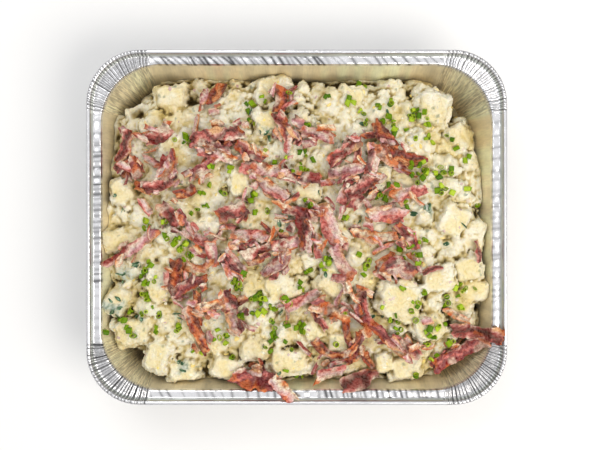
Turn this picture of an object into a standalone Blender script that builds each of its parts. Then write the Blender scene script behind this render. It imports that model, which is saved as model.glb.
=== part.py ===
"""Potato salad with bacon strips and chopped chives, heaped in a half-size foil catering tray.

Metres, +Z up. The origin is the centre of the tray's flat base, X along the tray's long side.
The foil tray, the heap of salad with its chives, and each larger strip of bacon are solids of their own.
"""
import math
import random

import bmesh
import bpy
from mathutils import Euler, Matrix, Vector
from mathutils.bvhtree import BVHTree

MM = 0.001

# Foil tray, outer sizes over its rolled edge
TRAY_LENGTH = 320 * MM
TRAY_WIDTH = 270 * MM
TRAY_HEIGHT = 65 * MM
RIM_CORNER_RADIUS = 41 * MM
OPENING_CORNER_RADIUS = 45 * MM
FLOOR_CORNER_RADIUS = 36 * MM
FOIL = 0.5 * MM
SHELF_Z = 60.5 * MM
SHELF_INNER_INSET = 10.6 * MM
SHELF_OUTER_INSET = 4.6 * MM
FLOOR_INSET = 24.6 * MM
BASE_FILLET = 7 * MM
FILLET_MIDDLE = (0.3, 0.22)
UPPER_BEND = 0.6 * SHELF_Z
CURL_RADIUS = 1.7 * MM
CURL_TURNS = (135, 90, 45, 0, -45, -90, -135)
PLEAT_HEIGHT = 0.35 * MM
ARC_STEPS = 10
LONG_STEPS = 3
SHORT_STEPS = 2

# Gap kept between solids that touch
GAP = 0.35 * MM

# Heap of salad: its level where it meets each wall, and its level in the middle
LEVEL_LEFT = 46 * MM
LEVEL_RIGHT = 42 * MM
LEVEL_FRONT = 37 * MM
LEVEL_BACK = 22 * MM
LEVEL_CORNER = 13 * MM
CROWN = 57 * MM
CROWN_REACH = 58 * MM
SWELL = 2.2 * MM
SWELL_PITCH = 78 * MM
CORE_ARC_STEPS = 5
CORE_RINGS = (0.92, 0.8, 0.65, 0.48, 0.3, 0.14)

# The photograph's view from above: the tray's centre and one pixel's size at the rim's height
PHOTO_TRAY_CENTRE = (296.7, 227.3)
PIXEL_AT_RIM = 0.758 * MM
EYE_ABOVE_RIM = 700 * MM

SEED = 11

# Potato pieces that stand out: place in the photograph (pixels), length and width (mm), turn (degrees)
SHOWN_CHUNKS = (
    (171, 98, 21, 15, -3), (433, 110, 26, 25, -12), (459, 141, 18, 19, 30), (270, 88, 21, 14, 10),
    (240, 184, 13, 17, 0), (268, 123, 18, 17, 20), (306, 189, 18, 17, 5), (380, 178, 15, 18, 12),
    (452, 221, 24, 21, 60), (474, 235, 15, 23, -20), (466, 269, 20, 17, 15), (474, 290, 22, 16, -8),
    (399, 300, 27, 22, -12), (438, 279, 22, 16, 12), (279, 287, 20, 21, 18), (289, 360, 27, 18, 4),
    (312, 331, 14, 15, 30), (338, 342, 15, 14, 0), (159, 355, 18, 22, -15), (184, 369, 22, 15, 8),
    (134, 331, 25, 20, 12), (119, 300, 17, 20, -30), (115, 241, 22, 17, 10), (124, 192, 16, 18, 25),
    (229, 367, 22, 15, -10), (405, 366, 24, 17, 6), (384, 362, 14, 14, 0), (160, 285, 20, 18, 35),
    (333, 281, 20, 18, -30), (428, 325, 20, 17, 20), (152, 127, 18, 15, 30), (352, 98, 18, 14, -12),
)
FILL_SPACING = 18.5 * MM
FILL_SIZES = (15 * MM, 21 * MM)
FILL_TRIES = 2600
BROKEN_EDGE = 0.27
LUMP_RADIUS = 0.56
CHUNK_HEIGHTS = (0.75, 0.95)
CHUNK_UNEVEN = (0.9, 1.08)
MOST_TILT = 24
MOST_STAND = 0.08
MOST_SUNK = 0.2
WALL_TRIES = 8

# Bacon strips with a node of their own: place in the photograph (pixels), heading, length, width (mm), bend
BACON_STRIPS = (
    (126, 148, 68, 28, 8, 40), (218, 137, 8, 42, 10, -14), (165, 169, 76, 21, 7, 20),
    (137, 168, 100, 18, 8, -20), (161, 185, 24, 22, 8, 10), (262, 169, -8, 32, 10, 12),
    (217, 156, -12, 30, 8, -16), (204, 169, 38, 25, 8, 14), (160, 136, 27, 23, 9, 8),
    (250, 153, -33, 23, 9, 14), (281, 101, 80, 21, 10, 12), (284, 128, -60, 25, 9, -18),
    (215, 94, 59, 22, 8, 10), (300, 177, -4, 32, 8, 10), (274, 190, -38, 25, 8, 16),
    (317, 135, -20, 27, 7, 12), (344, 152, 35, 31, 8, -16), (384, 136, -55, 27, 9, 10),
    (399, 158, -14, 38, 12, -16), (347, 172, 12, 30, 8, 14), (371, 171, 76, 31, 9, -16),
    (407, 194, 12, 29, 8, 10), (386, 215, -3, 29, 11, -10), (300, 213, -14, 28, 9, 12),
    (331, 227, -64, 33, 13, 12), (304, 233, -82, 28, 11, -12), (359, 188, 35, 26, 9, 12),
    (406, 236, -48, 25, 8, -24), (374, 235, -3, 34, 7, 14), (232, 212, 20, 24, 11, -14),
    (250, 236, -5, 28, 9, 12), (262, 249, 20, 30, 7, -10), (286, 243, 18, 23, 9, 16),
    (197, 237, -28, 22, 8, 12), (172, 215, -50, 22, 9, -12), (134, 248, 30, 50, 7, 12),
    (214, 253, -75, 20, 8, 10), (237, 264, -50, 23, 9, -10), (277, 265, 35, 25, 8, -22),
    (178, 275, -85, 23, 10, 18), (190, 285, 25, 29, 8, -12), (197, 329, -70, 40, 8, 20),
    (212, 304, 15, 22, 7, -14), (234, 312, -72, 33, 9, 46), (303, 300, 25, 27, 8, -12),
    (331, 310, -20, 33, 8, -16), (338, 346, 10, 50, 6, 150), (363, 306, -76, 24, 8, 12),
    (376, 329, -42, 30, 8, -10), (403, 346, -30, 30, 10, 10), (342, 262, -58, 29, 10, 14),
    (398, 268, -20, 26, 11, -12), (255, 376, -10, 34, 13, 12), (329, 372, 12, 24, 9, -12),
    (359, 377, 14, 30, 9, 16), (473, 331, -3, 38, 11, -12), (457, 352, 26, 45, 9, 14),
    (283, 384, -50, 25, 9, 14),
)
BACON_THICKNESS = 1.5 * MM
BACON_STEP = 6.0 * MM
BACON_END_TAPER = 0.28
MOST_SLOPE = 0.8
MOST_TWIST = 0.5
SHARES_ALONG = (0.0, 0.25, 0.5, 0.75, 1.0)
SHARES_ACROSS = (-0.3, 0.0, 0.35, 0.7, 1.1)

# Chives: clusters in the photograph (pixels), their reach (pixels) and how many cut pieces each gets
CHIVE_CLUSTERS = (
    (415, 118, 26, 8), (437, 180, 22, 7), (380, 105, 30, 5), (310, 161, 12, 4), (412, 175, 9, 3),
    (182, 247, 12, 4), (150, 275, 16, 5), (243, 282, 12, 4), (275, 305, 22, 7), (290, 335, 26, 6),
    (160, 322, 34, 6), (425, 335, 20, 6), (395, 322, 10, 3), (325, 265, 12, 3), (450, 300, 24, 4),
)
CHIVE_RADIUS = 2.0 * MM
CHIVE_LENGTH = 3.2 * MM
CHIVE_SIDES = 6
CHIVE_UNEVEN = (0.85, 1.15)
CHIVE_LIES = (4, 12, 82, 88)


def smooth(t):
    """0 to 1, rising fast and levelling off."""
    t = min(max(t, 0.0), 1.0)
    return 1 - (1 - t) ** 2


def wall_inset(z):
    """How far the foil wall's outer face lies inside the tray's overall size, at height z."""
    share = min(max(z / SHELF_Z, 0.0), 1.0)
    return FLOOR_INSET + (SHELF_INNER_INSET - FLOOR_INSET) * share


def wall_corner(z):
    """Corner radius of the foil wall at height z."""
    share = min(max(z / SHELF_Z, 0.0), 1.0)
    return FLOOR_CORNER_RADIUS + (OPENING_CORNER_RADIUS - FLOOR_CORNER_RADIUS) * share


def wall_room(x, y, z):
    """How far a point lies inside the foil wall's outer face at height z."""
    radius = wall_corner(z)
    dx = abs(x) - (TRAY_LENGTH / 2 - wall_inset(z) - radius)
    dy = abs(y) - (TRAY_WIDTH / 2 - wall_inset(z) - radius)
    return radius - math.hypot(max(dx, 0), max(dy, 0)) - min(max(dx, dy), 0)


def heap_level(x, y):
    """Height of the salad's core over a point of the base."""
    along = (abs(x) / (TRAY_LENGTH / 2)) ** 4
    across = (abs(y) / (TRAY_WIDTH / 2)) ** 4
    both = along + across + 1e-9
    end_level = LEVEL_LEFT if x < 0 else LEVEL_RIGHT
    side_level = LEVEL_BACK if y > 0 else LEVEL_FRONT
    straight = (along * end_level + across * side_level) / both
    corner = 2 * min(along, across) / both
    wall = straight + (LEVEL_CORNER - straight) * corner
    rise = smooth(wall_room(x, y, SHELF_Z) / CROWN_REACH)
    turn = 2 * math.pi / SWELL_PITCH
    swell = SWELL * math.sin(turn * x + 0.7) * math.cos(turn * 1.2 * y - 0.4) * rise
    return wall + (CROWN - wall) * rise + swell


def tray_point(photo_x, photo_y):
    """The (x, y) on the heap that the photograph shows at a pixel, seen from straight above the tray."""
    x = (photo_x - PHOTO_TRAY_CENTRE[0]) * PIXEL_AT_RIM
    y = (PHOTO_TRAY_CENTRE[1] - photo_y) * PIXEL_AT_RIM
    depth = 1 + (TRAY_HEIGHT - heap_level(x, y)) / EYE_ABOVE_RIM
    return x * depth, y * depth


def clear_scene():
    for obj in list(bpy.data.objects):
        bpy.data.objects.remove(obj, do_unlink=True)


def new_collection(name):
    collection = bpy.data.collections.new(name)
    bpy.context.scene.collection.children.link(collection)
    return collection


def material(name, colour, roughness, metallic=0.0):
    made = bpy.data.materials.new(name)
    made.use_nodes = True
    shader = made.node_tree.nodes["Principled BSDF"]
    shader.inputs["Base Color"].default_value = (*colour, 1)
    shader.inputs["Roughness"].default_value = roughness
    shader.inputs["Metallic"].default_value = metallic
    return made


def mesh_object(name, bm, collection, finish):
    """A named object from a bmesh, which is freed."""
    bmesh.ops.recalc_face_normals(bm, faces=bm.faces)
    mesh = bpy.data.meshes.new(name)
    bm.to_mesh(mesh)
    bm.free()
    mesh.materials.append(finish)
    obj = bpy.data.objects.new(name, mesh)
    collection.objects.link(obj)
    return obj


def stations(arc_steps, long_steps, short_steps):
    """Places round the tray, counterclockwise: (corner, next corner, share of the way, way out, pleat)."""
    found = []
    for corner in range(4):
        for step in range(arc_steps + 1):
            turn = math.pi / 2 * (corner + step / arc_steps)
            pleat = (-1) ** step if 0 < step < arc_steps else 0
            found.append((corner, corner, 0.0, Vector((math.cos(turn), math.sin(turn))), pleat))
        out = found[-1][3]
        steps = long_steps if corner % 2 == 0 else short_steps
        for step in range(1, steps):
            found.append((corner, (corner + 1) % 4, step / steps, out, 0))
    return found


def station_point(place, inset, radius):
    """Plan point of a station on the outline with this inset and corner radius."""
    corner, following, share, out, _ = place
    half_x = TRAY_LENGTH / 2 - inset - radius
    half_y = TRAY_WIDTH / 2 - inset - radius
    centres = ((half_x, half_y), (-half_x, half_y), (-half_x, -half_y), (half_x, -half_y))
    return Vector(centres[corner]).lerp(Vector(centres[following]), share) + out * radius


def ring(bm, places, inset, radius, z, pleat_height=0.0):
    """One closed row of vertices round the tray."""
    row = []
    for place in places:
        at = station_point(place, inset, radius)
        row.append(bm.verts.new((at.x, at.y, z + place[4] * pleat_height)))
    return row


def bridge(bm, lower, upper):
    """Faces between two rows of equal length."""
    for i in range(len(lower)):
        j = (i + 1) % len(lower)
        bm.faces.new((lower[i], lower[j], upper[j], upper[i]))


def tray_profile():
    """(inset, corner radius, height, pleat height) of the foil's outer face, from the base to the curl."""
    foot = wall_inset(BASE_FILLET)
    heel = wall_corner(BASE_FILLET)
    aside, above = (share * BASE_FILLET for share in FILLET_MIDDLE)
    profile = [
        (foot + BASE_FILLET, heel - BASE_FILLET, 0.0, 0.0),
        (foot + aside, heel - aside, above, 0.0),
        (foot, heel, BASE_FILLET, 0.0),
        (wall_inset(UPPER_BEND), wall_corner(UPPER_BEND), UPPER_BEND, 0.0),
        (SHELF_INNER_INSET, OPENING_CORNER_RADIUS, SHELF_Z, -PLEAT_HEIGHT),
        (SHELF_OUTER_INSET, RIM_CORNER_RADIUS - SHELF_OUTER_INSET, SHELF_Z, PLEAT_HEIGHT),
    ]
    roll = CURL_RADIUS - FOIL
    for degrees in CURL_TURNS:
        turn = math.radians(degrees)
        inset = CURL_RADIUS - roll * math.cos(turn)
        height = TRAY_HEIGHT - CURL_RADIUS + roll * math.sin(turn)
        profile.append((inset, RIM_CORNER_RADIUS - inset, height, 0.0))
    return profile


def build_tray(collection, finish):
    """The foil tray: one open sheet from the base over the shelf to the curl, thickened inwards."""
    bm = bmesh.new()
    places = stations(ARC_STEPS, LONG_STEPS, SHORT_STEPS)
    rows = [ring(bm, places, *point) for point in tray_profile()]
    bm.faces.new(reversed(rows[0]))
    for lower, upper in zip(rows, rows[1:]):
        bridge(bm, lower, upper)
    tray = mesh_object("foil_tray", bm, collection, finish)
    foil = tray.modifiers.new("foil", "SOLIDIFY")
    foil.thickness = FOIL
    # The open sheet's faces look into the tray, so the foil thickens that way
    foil.offset = 1.0
    foil.use_even_offset = True
    return tray


def build_core(collection, finish):
    """The salad's core: it fills the tray up to the heap's level, clear of the foil."""
    bm = bmesh.new()
    places = stations(CORE_ARC_STEPS, LONG_STEPS + 1, SHORT_STEPS + 1)
    clear = FOIL + 3 * GAP
    foot = wall_inset(BASE_FILLET) + clear
    heel = wall_corner(BASE_FILLET) - clear
    aside = FILLET_MIDDLE[0] * BASE_FILLET
    rows = [
        ring(bm, places, foot + BASE_FILLET, heel - BASE_FILLET, FOIL + GAP),
        ring(bm, places, foot + aside, heel - aside, aside + clear),
    ]
    wall = []
    for place in places:
        at = station_point(place, SHELF_INNER_INSET + clear, OPENING_CORNER_RADIUS - clear)
        level = heap_level(at.x, at.y)
        at = station_point(place, wall_inset(level) + clear, wall_corner(level) - clear)
        wall.append(bm.verts.new((at.x, at.y, level)))
    rows.append(wall)
    for share in CORE_RINGS:
        row = []
        for vert in wall:
            x, y = vert.co.x * share, vert.co.y * share
            row.append(bm.verts.new((x, y, heap_level(x, y))))
        rows.append(row)
    for lower, upper in zip(rows, rows[1:]):
        bridge(bm, lower, upper)
    bm.faces.new(rows[0])
    bm.faces.new(rows[-1])
    bmesh.ops.triangulate(bm, faces=bm.faces)
    return mesh_object("potato_salad", bm, collection, finish)


def keep_off_wall(points):
    """The sideways shift that brings a piece's points clear of the foil wall."""
    shift = Vector((0, 0, 0))
    for _ in range(WALL_TRIES):
        worst, push = 0.0, None
        for point in points:
            at = point + shift
            short = FOIL + 2 * GAP - wall_room(at.x, at.y, at.z)
            if short > worst:
                worst, push = short, Vector((-at.x, -at.y, 0)).normalized()
        if push is None:
            return shift
        shift += push * (1.3 * worst)
    return shift


def cut_block(length, width, height):
    """A boiled potato block with broken edges."""
    bm = bmesh.new()
    bmesh.ops.create_cube(bm, size=1.0)
    bmesh.ops.scale(bm, vec=(length, width, height), verts=bm.verts)
    broken = BROKEN_EDGE * min(length, width)
    bmesh.ops.bevel(bm, geom=bm.edges[:], offset=broken, segments=1, affect="EDGES", profile=0.5)
    return bm


def lump(length, width, height):
    """A rough lump of potato with twenty sides."""
    bm = bmesh.new()
    bmesh.ops.create_icosphere(bm, subdivisions=1, radius=LUMP_RADIUS)
    bmesh.ops.scale(bm, vec=(length, width, height), verts=bm.verts)
    return bm


def add_chunk(collection, finish, draw, form, x, y, length, width, turn, stand):
    """Sets one uneven potato piece in the heap, part sunk and clear of the wall."""
    height = 0.5 * (length + width) * draw.uniform(*CHUNK_HEIGHTS)
    bm = form(length, width, height)
    for vert in bm.verts:
        vert.co *= draw.uniform(*CHUNK_UNEVEN)
    tilt = [math.radians(draw.uniform(-MOST_TILT, MOST_TILT)) for _ in range(2)]
    spin = Euler((*tilt, turn)).to_matrix().to_4x4()
    placing = Matrix.Translation((x, y, heap_level(x, y) + stand)) @ spin
    bmesh.ops.transform(bm, matrix=placing, verts=bm.verts)
    bmesh.ops.translate(bm, vec=keep_off_wall([vert.co for vert in bm.verts]), verts=bm.verts)
    bmesh.ops.triangulate(bm, faces=bm.faces)
    mesh_object("chunk", bm, collection, finish)


def add_chunks(collection, finish):
    """The potato pieces that stand out in the photograph, then a seeded fill between them."""
    draw = random.Random(SEED)
    placed = []
    for photo_x, photo_y, length, width, turn in SHOWN_CHUNKS:
        x, y = tray_point(photo_x, photo_y)
        length, width = length * MM, width * MM
        stand = draw.uniform(0.0, MOST_STAND) * length
        add_chunk(collection, finish, draw, cut_block, x, y, length, width, math.radians(turn), stand)
        placed.append((x, y, 0.5 * (length + width)))
    for _ in range(FILL_TRIES):
        x = draw.uniform(-0.5, 0.5) * TRAY_LENGTH
        y = draw.uniform(-0.5, 0.5) * TRAY_WIDTH
        size = draw.uniform(*FILL_SIZES)
        room = wall_room(x, y, heap_level(x, y)) - 0.45 * size
        near = any(math.hypot(x - a, y - b) < max(FILL_SPACING, 0.42 * (size + c)) for a, b, c in placed)
        if room < 0 or near:
            continue
        width = size * draw.uniform(0.8, 1.1)
        turn = draw.uniform(0, math.pi)
        stand = draw.uniform(-MOST_SUNK, 0.0) * size
        add_chunk(collection, finish, draw, lump, x, y, size, width, turn, stand)
        placed.append((x, y, size))


def surface(obj):
    """A search tree over an object's faces, with its modifiers."""
    graph = bpy.context.evaluated_depsgraph_get()
    return BVHTree.FromObject(obj, graph)


def drop(trees, x, y):
    """Where a plumb line at (x, y) first meets one of the surfaces, as (height, normal)."""
    height, facing = FOIL, Vector((0, 0, 1))
    for tree in trees:
        hit, normal, _, _ = tree.ray_cast(Vector((x, y, 2 * TRAY_HEIGHT)), Vector((0, 0, -1)))
        if hit is not None and hit.z > height:
            height, facing = hit.z, normal
    return height, facing


def add_chives(collection, finish, trees):
    """Cut pieces of chive round each cluster's middle, half sunk in the salad."""
    draw = random.Random(SEED + 1)
    for photo_x, photo_y, reach, count in CHIVE_CLUSTERS:
        for _ in range(count):
            turn = draw.uniform(0, 2 * math.pi)
            away = reach * math.sqrt(draw.random())
            x, y = tray_point(photo_x + away * math.cos(turn), photo_y + away * math.sin(turn))
            z, normal = drop(trees, x, y)
            if normal.z < 0.75 or wall_room(x, y, z) < 2 * CHIVE_LENGTH:
                continue
            bm = bmesh.new()
            radius = CHIVE_RADIUS * draw.uniform(*CHIVE_UNEVEN)
            bmesh.ops.create_cone(
                bm, cap_ends=True, segments=CHIVE_SIDES, radius1=radius, radius2=radius, depth=CHIVE_LENGTH
            )
            lie = math.radians(draw.choice(CHIVE_LIES))
            spin = Euler((lie, draw.uniform(-0.1, 0.1), draw.uniform(0, math.pi)))
            at = Vector((x, y, z)) + 0.15 * radius * normal
            bmesh.ops.transform(bm, matrix=Matrix.Translation(at) @ spin.to_matrix().to_4x4(), verts=bm.verts)
            mesh_object("chive", bm, collection, finish)


def join_all(body, pieces):
    """Unites the pieces with the body, drops what is left loose or sealed inside, and removes the pieces."""
    union = body.modifiers.new("union", "BOOLEAN")
    union.operation = "UNION"
    union.operand_type = "COLLECTION"
    union.collection = pieces
    graph = bpy.context.evaluated_depsgraph_get()
    joined = bpy.data.meshes.new_from_object(body.evaluated_get(graph))
    body.modifiers.clear()
    bm = bmesh.new()
    bm.from_mesh(joined)
    bm.verts.ensure_lookup_table()
    left, shells = set(bm.verts), []
    while left:
        seed = left.pop()
        shell, edge = {seed}, [seed]
        while edge:
            for link in edge.pop().link_edges:
                for vert in link.verts:
                    if vert not in shell:
                        shell.add(vert)
                        edge.append(vert)
        left -= shell
        shells.append(shell)
    body_shell = max(shells, key=len)
    bmesh.ops.delete(bm, geom=[v for v in bm.verts if v not in body_shell], context="VERTS")
    bm.to_mesh(joined)
    bm.free()
    body.data = joined
    for obj in list(pieces.objects):
        bpy.data.objects.remove(obj, do_unlink=True)
    bpy.data.collections.remove(pieces)


def strip_line(x, y, heading, length, bend):
    """Plan points and side directions along a bent strip, evenly spaced, with its middle at (x, y)."""
    count = max(4, round(length / BACON_STEP))
    step = length / count
    points, sides = [Vector((0, 0))], []
    for i in range(count + 1):
        turn = heading + bend * (i / count - 0.5)
        sides.append(Vector((-math.sin(turn), math.cos(turn))))
        if i < count:
            middle = heading + bend * ((i + 0.5) / count - 0.5)
            points.append(points[-1] + step * Vector((math.cos(middle), math.sin(middle))))
    centre = sum(points, Vector((0, 0))) / len(points)
    return [point - centre + Vector((x, y)) for point in points], sides


def settle(trees, points, sides, halves):
    """Heights of a strip's two lower edges, each over all that lies under its side of the stretches near."""
    last = len(points) - 1
    edges = []
    for way in (-1, 1):
        stretches = []
        for i in range(last):
            highest = 0.0
            for share in SHARES_ALONG:
                at = points[i].lerp(points[i + 1], share)
                side = sides[i].lerp(sides[i + 1], share)
                half = halves[i] * (1 - share) + halves[i + 1] * share
                for offset in SHARES_ACROSS:
                    spot = at + side * (half * offset * way)
                    highest = max(highest, drop(trees, spot.x, spot.y)[0])
            stretches.append(highest)
        levels = [max(stretches[max(i - 1, 0) : i + 1]) + GAP for i in range(last + 1)]
        fall = MOST_SLOPE * BACON_STEP
        for i in list(range(1, last + 1)) + list(range(last - 1, -1, -1)):
            beside = [levels[k] for k in (i - 1, i + 1) if 0 <= k <= last]
            levels[i] = max(levels[i], max(beside) - fall)
        edges.append(levels)
    twist = MOST_TWIST * 2 * max(halves)
    left, right = edges
    for i in range(last + 1):
        left[i] = max(left[i], right[i] - twist)
        right[i] = max(right[i], left[i] - twist)
    return left, right


def strip_mesh(points, sides, halves, left, right):
    """A closed ribbon: both faces are split into triangles along the same diagonals."""
    bm = bmesh.new()
    rows = []
    for i, (at, side) in enumerate(zip(points, sides)):
        a, b = at - side * halves[i], at + side * halves[i]
        rows.append([
            bm.verts.new((a.x, a.y, left[i])),
            bm.verts.new((b.x, b.y, right[i])),
            bm.verts.new((b.x, b.y, right[i] + BACON_THICKNESS)),
            bm.verts.new((a.x, a.y, left[i] + BACON_THICKNESS)),
        ])
    for near, far in zip(rows, rows[1:]):
        bm.faces.new((near[0], near[1], far[1]))
        bm.faces.new((near[0], far[1], far[0]))
        bm.faces.new((near[3], far[2], near[2]))
        bm.faces.new((near[3], far[3], far[2]))
        bm.faces.new((near[1], near[2], far[2]))
        bm.faces.new((near[1], far[2], far[1]))
        bm.faces.new((near[0], far[0], far[3]))
        bm.faces.new((near[0], far[3], near[3]))
    for row in (rows[0], rows[-1]):
        bm.faces.new((row[0], row[1], row[2]))
        bm.faces.new((row[0], row[2], row[3]))
    return bm


def build_bacon(collection, finish, ground):
    """Each strip in turn, draped over the salad, the tray's rim and the strips under it."""
    trees = [surface(obj) for obj in ground]
    for number, (photo_x, photo_y, heading, length, width, bend) in enumerate(BACON_STRIPS, 1):
        x, y = tray_point(photo_x, photo_y)
        points, sides = strip_line(x, y, math.radians(heading), length * MM, math.radians(bend))
        last = len(points) - 1
        halves = []
        for i in range(last + 1):
            end = abs(2 * i / last - 1) ** 3
            halves.append(0.5 * width * MM * (1 - BACON_END_TAPER * end))
        left, right = settle(trees, points, sides, halves)
        bm = strip_mesh(points, sides, halves, left, right)
        while any(BVHTree.FromBMesh(bm).overlap(tree) for tree in trees):
            bmesh.ops.translate(bm, vec=(0, 0, GAP), verts=bm.verts)
        trees.append(BVHTree.FromBMesh(bm))
        mesh_object(f"bacon_{number:02d}", bm, collection, finish)


def main():
    clear_scene()
    parts = new_collection("potato_salad_in_foil_tray")
    foil = material("foil", (0.80, 0.80, 0.80), 0.28, 1.0)
    salad = material("creamy_potato", (0.86, 0.80, 0.62), 0.45)
    meat = material("fried_bacon", (0.60, 0.24, 0.20), 0.4)
    tray = build_tray(parts, foil)
    heap = build_core(parts, salad)
    pieces = new_collection("pieces_in_the_heap")
    add_chunks(pieces, salad)
    add_chives(pieces, salad, [surface(obj) for obj in (heap, *pieces.objects)])
    join_all(heap, pieces)
    build_bacon(parts, meat, [heap, tray])


main()
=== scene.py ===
"""The look of the potato salad in its foil tray: foil, potato, fried bacon, chives, herbs and small bits.

Metres, +Z up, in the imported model's frame.
"""
import math

import bpy
import numpy as np
from mathutils import Euler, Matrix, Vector
from mathutils.bvhtree import BVHTree


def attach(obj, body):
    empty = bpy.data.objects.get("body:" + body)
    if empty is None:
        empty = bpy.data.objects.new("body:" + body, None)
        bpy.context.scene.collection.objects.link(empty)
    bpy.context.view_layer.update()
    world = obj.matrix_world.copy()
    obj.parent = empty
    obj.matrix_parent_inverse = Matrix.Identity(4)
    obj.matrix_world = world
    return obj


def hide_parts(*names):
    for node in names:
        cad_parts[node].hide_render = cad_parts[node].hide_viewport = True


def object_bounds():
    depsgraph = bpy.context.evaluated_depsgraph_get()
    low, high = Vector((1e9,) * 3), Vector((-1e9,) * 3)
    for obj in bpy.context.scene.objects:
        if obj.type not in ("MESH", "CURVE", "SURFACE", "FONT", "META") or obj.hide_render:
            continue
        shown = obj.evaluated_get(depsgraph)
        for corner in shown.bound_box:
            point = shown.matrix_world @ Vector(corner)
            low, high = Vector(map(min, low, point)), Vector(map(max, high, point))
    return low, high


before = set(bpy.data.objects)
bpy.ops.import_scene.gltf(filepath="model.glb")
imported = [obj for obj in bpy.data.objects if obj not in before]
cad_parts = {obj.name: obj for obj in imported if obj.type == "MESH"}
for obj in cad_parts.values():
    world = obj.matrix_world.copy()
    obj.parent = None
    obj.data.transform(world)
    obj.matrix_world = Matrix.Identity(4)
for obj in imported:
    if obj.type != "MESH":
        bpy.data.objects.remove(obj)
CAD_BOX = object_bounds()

MM = 0.001
SEED = 23

# Foil tray: outer sizes over its rolled edge, corner radii, levels, insets from the outer sizes, thickness
TRAY_LENGTH = 320 * MM
TRAY_WIDTH = 270 * MM
TRAY_HEIGHT = 65 * MM
RIM_CORNER_RADIUS = 41 * MM
OPENING_CORNER_RADIUS = 45 * MM
FLOOR_CORNER_RADIUS = 36 * MM
SHELF_Z = 60.5 * MM
SHELF_INNER_INSET = 10.6 * MM
SHELF_OUTER_INSET = 4.6 * MM
FLOOR_INSET = 24.6 * MM
BASE_FILLET = 7 * MM
CURL_RADIUS = 1.7 * MM
SHEET = 0.2 * MM

# Points round the tray's sheet, folds at each corner, grain, and how far pleats, crimps and ribs stand out
CORNER_STEPS = 200
LONG_STEPS = 220
SHORT_STEPS = 176
PLEATS = 31
WRINKLES = 38
PLEAT_INSET = 48 * MM
GRAIN_ACROSS = 0.62 / MM
GRAIN_ALONG = 0.07 / MM
PLEAT_HEIGHT = 1.1 * MM
WALL_PLEAT = 0.5 * MM
CRIMP_HEIGHT = 0.12 * MM
WALL_OUTWARD = 0.4 * MM
RIB_DEPTH = 0.18 * MM
RIB_PITCH = 13 * MM
KNURL = 0.3 * MM

# Folds at the corners: the share of the corner over which they fade out, the ranges of their widths,
# heights, lit tones, painted shade tones and creases, and how much of each is in painted shade by corner,
# from back right round
FOLD_FADE = 0.03
FOLD_WIDTHS = (0.45, 1.6)
FOLD_HEIGHTS = (0.35, 1.0)
FOLD_LIGHTS = (0.8, 1.0)
FOLD_SHADE_TONES = (0.02, 0.4)
CREASE_DEPTHS = (0.25, 1.0)
SHADED_SHARES = (0.42, 0.45, 0.7, 0.62)

# Where in a fold its top is, how the folds slant over the shelf and down the wall, and the foil's tones:
# the creases' painted shade and highlight, the highest tone (also the painted highlight on the step's
# folds), the step's shine and the painted shade along the rolled edge's side
FOLD_TOP = 0.6
SHELF_SLANT = 0.012
WALL_LEAN = (0.02, 0.5)
CREASE_SHADE_AND_HIGHLIGHT = 0.4
MOST_TONE = 1.2
STEP_SHINE = 0.2
ROLL_SIDE_SHADE = 0.6

# The sheet's section: heights on the wall (shares of the shelf's), the shelf's insets and drops (mm), the
# step's insets and heights (mm), and directions round the rolled edge (degrees)
WALL_SHARES = (0.2, 0.32, 0.44, 0.56, 0.68, 0.8, 0.92)
SHELF_ROWS = ((10.65, 0.6), (10.1, 0.1), (9.0, 0.0), (7.6, 0.0), (6.2, 0.0), (4.9, 0.0))
STEP_ROWS = ((4.4, 61.1), (3.95, 62.5))
ROLL_DEGREES = (150, 120, 90, 60, 30, 0, -35, -80, -130)

# Grey bars of painted shade across the shelf: side (back, left, front, right), from and to (shares of it),
# spacing (mm), depth of the shade and lean (mm)
SHELF_SHADE_BARS = (
    (0, 0.00, 0.45, 7.0, 0.50, 6.0), (0, 0.42, 1.00, 4.6, 0.75, 6.0), (1, 0.00, 0.16, 7.0, 0.30, 0.5),
    (1, 0.14, 0.76, 4.6, 0.55, 0.4), (1, 0.76, 1.00, 8.0, 0.18, 0.0), (2, 0.00, 0.28, 8.0, 0.40, 3.0),
    (2, 0.28, 0.60, 9.0, 0.50, 1.0), (2, 0.60, 1.00, 3.6, 0.65, 1.5), (3, 0.00, 0.60, 5.0, 0.30, 0.5),
    (3, 0.60, 1.00, 7.0, 0.30, 0.8),
)

# Where the heap falls away in the corners: back right, back left, front left, front right
# Depth, and how far from the wall the fall is full and ends
CORNER_FALLS = (
    (38 * MM, 27 * MM, 41 * MM), (22 * MM, 13 * MM, 25 * MM), (18 * MM, 12 * MM, 23 * MM),
    (21 * MM, 14 * MM, 26 * MM),
)

# The heap's level where it meets each wall and in the middle, as the solid has it
LEVEL_LEFT = 46 * MM
LEVEL_RIGHT = 42 * MM
LEVEL_FRONT = 37 * MM
LEVEL_BACK = 22 * MM
LEVEL_CORNER = 13 * MM
CROWN = 57 * MM
CROWN_REACH = 58 * MM

# The photograph's view from above: the tray's centre, one pixel's size at the rim's height and the eye
PHOTO_WIDTH = 600
PHOTO_TRAY_CENTRE = (296.7, 227.3)
PHOTO_CENTRE = (300.0, 225.0)
PIXEL_AT_RIM = 0.758 * MM
EYE_ABOVE_RIM = 700 * MM
SENSOR = 36.0

# Grids: the heap's own mesh, and the finer map of what lies on top
HEAP_CELL = 0.9 * MM
GROUND_CELL = 0.6 * MM
SALAD_CLEAR = 0.45 * MM
HEAP_TOP = 65 * MM
SALAD_FLOOR = 1.0 * MM

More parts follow.
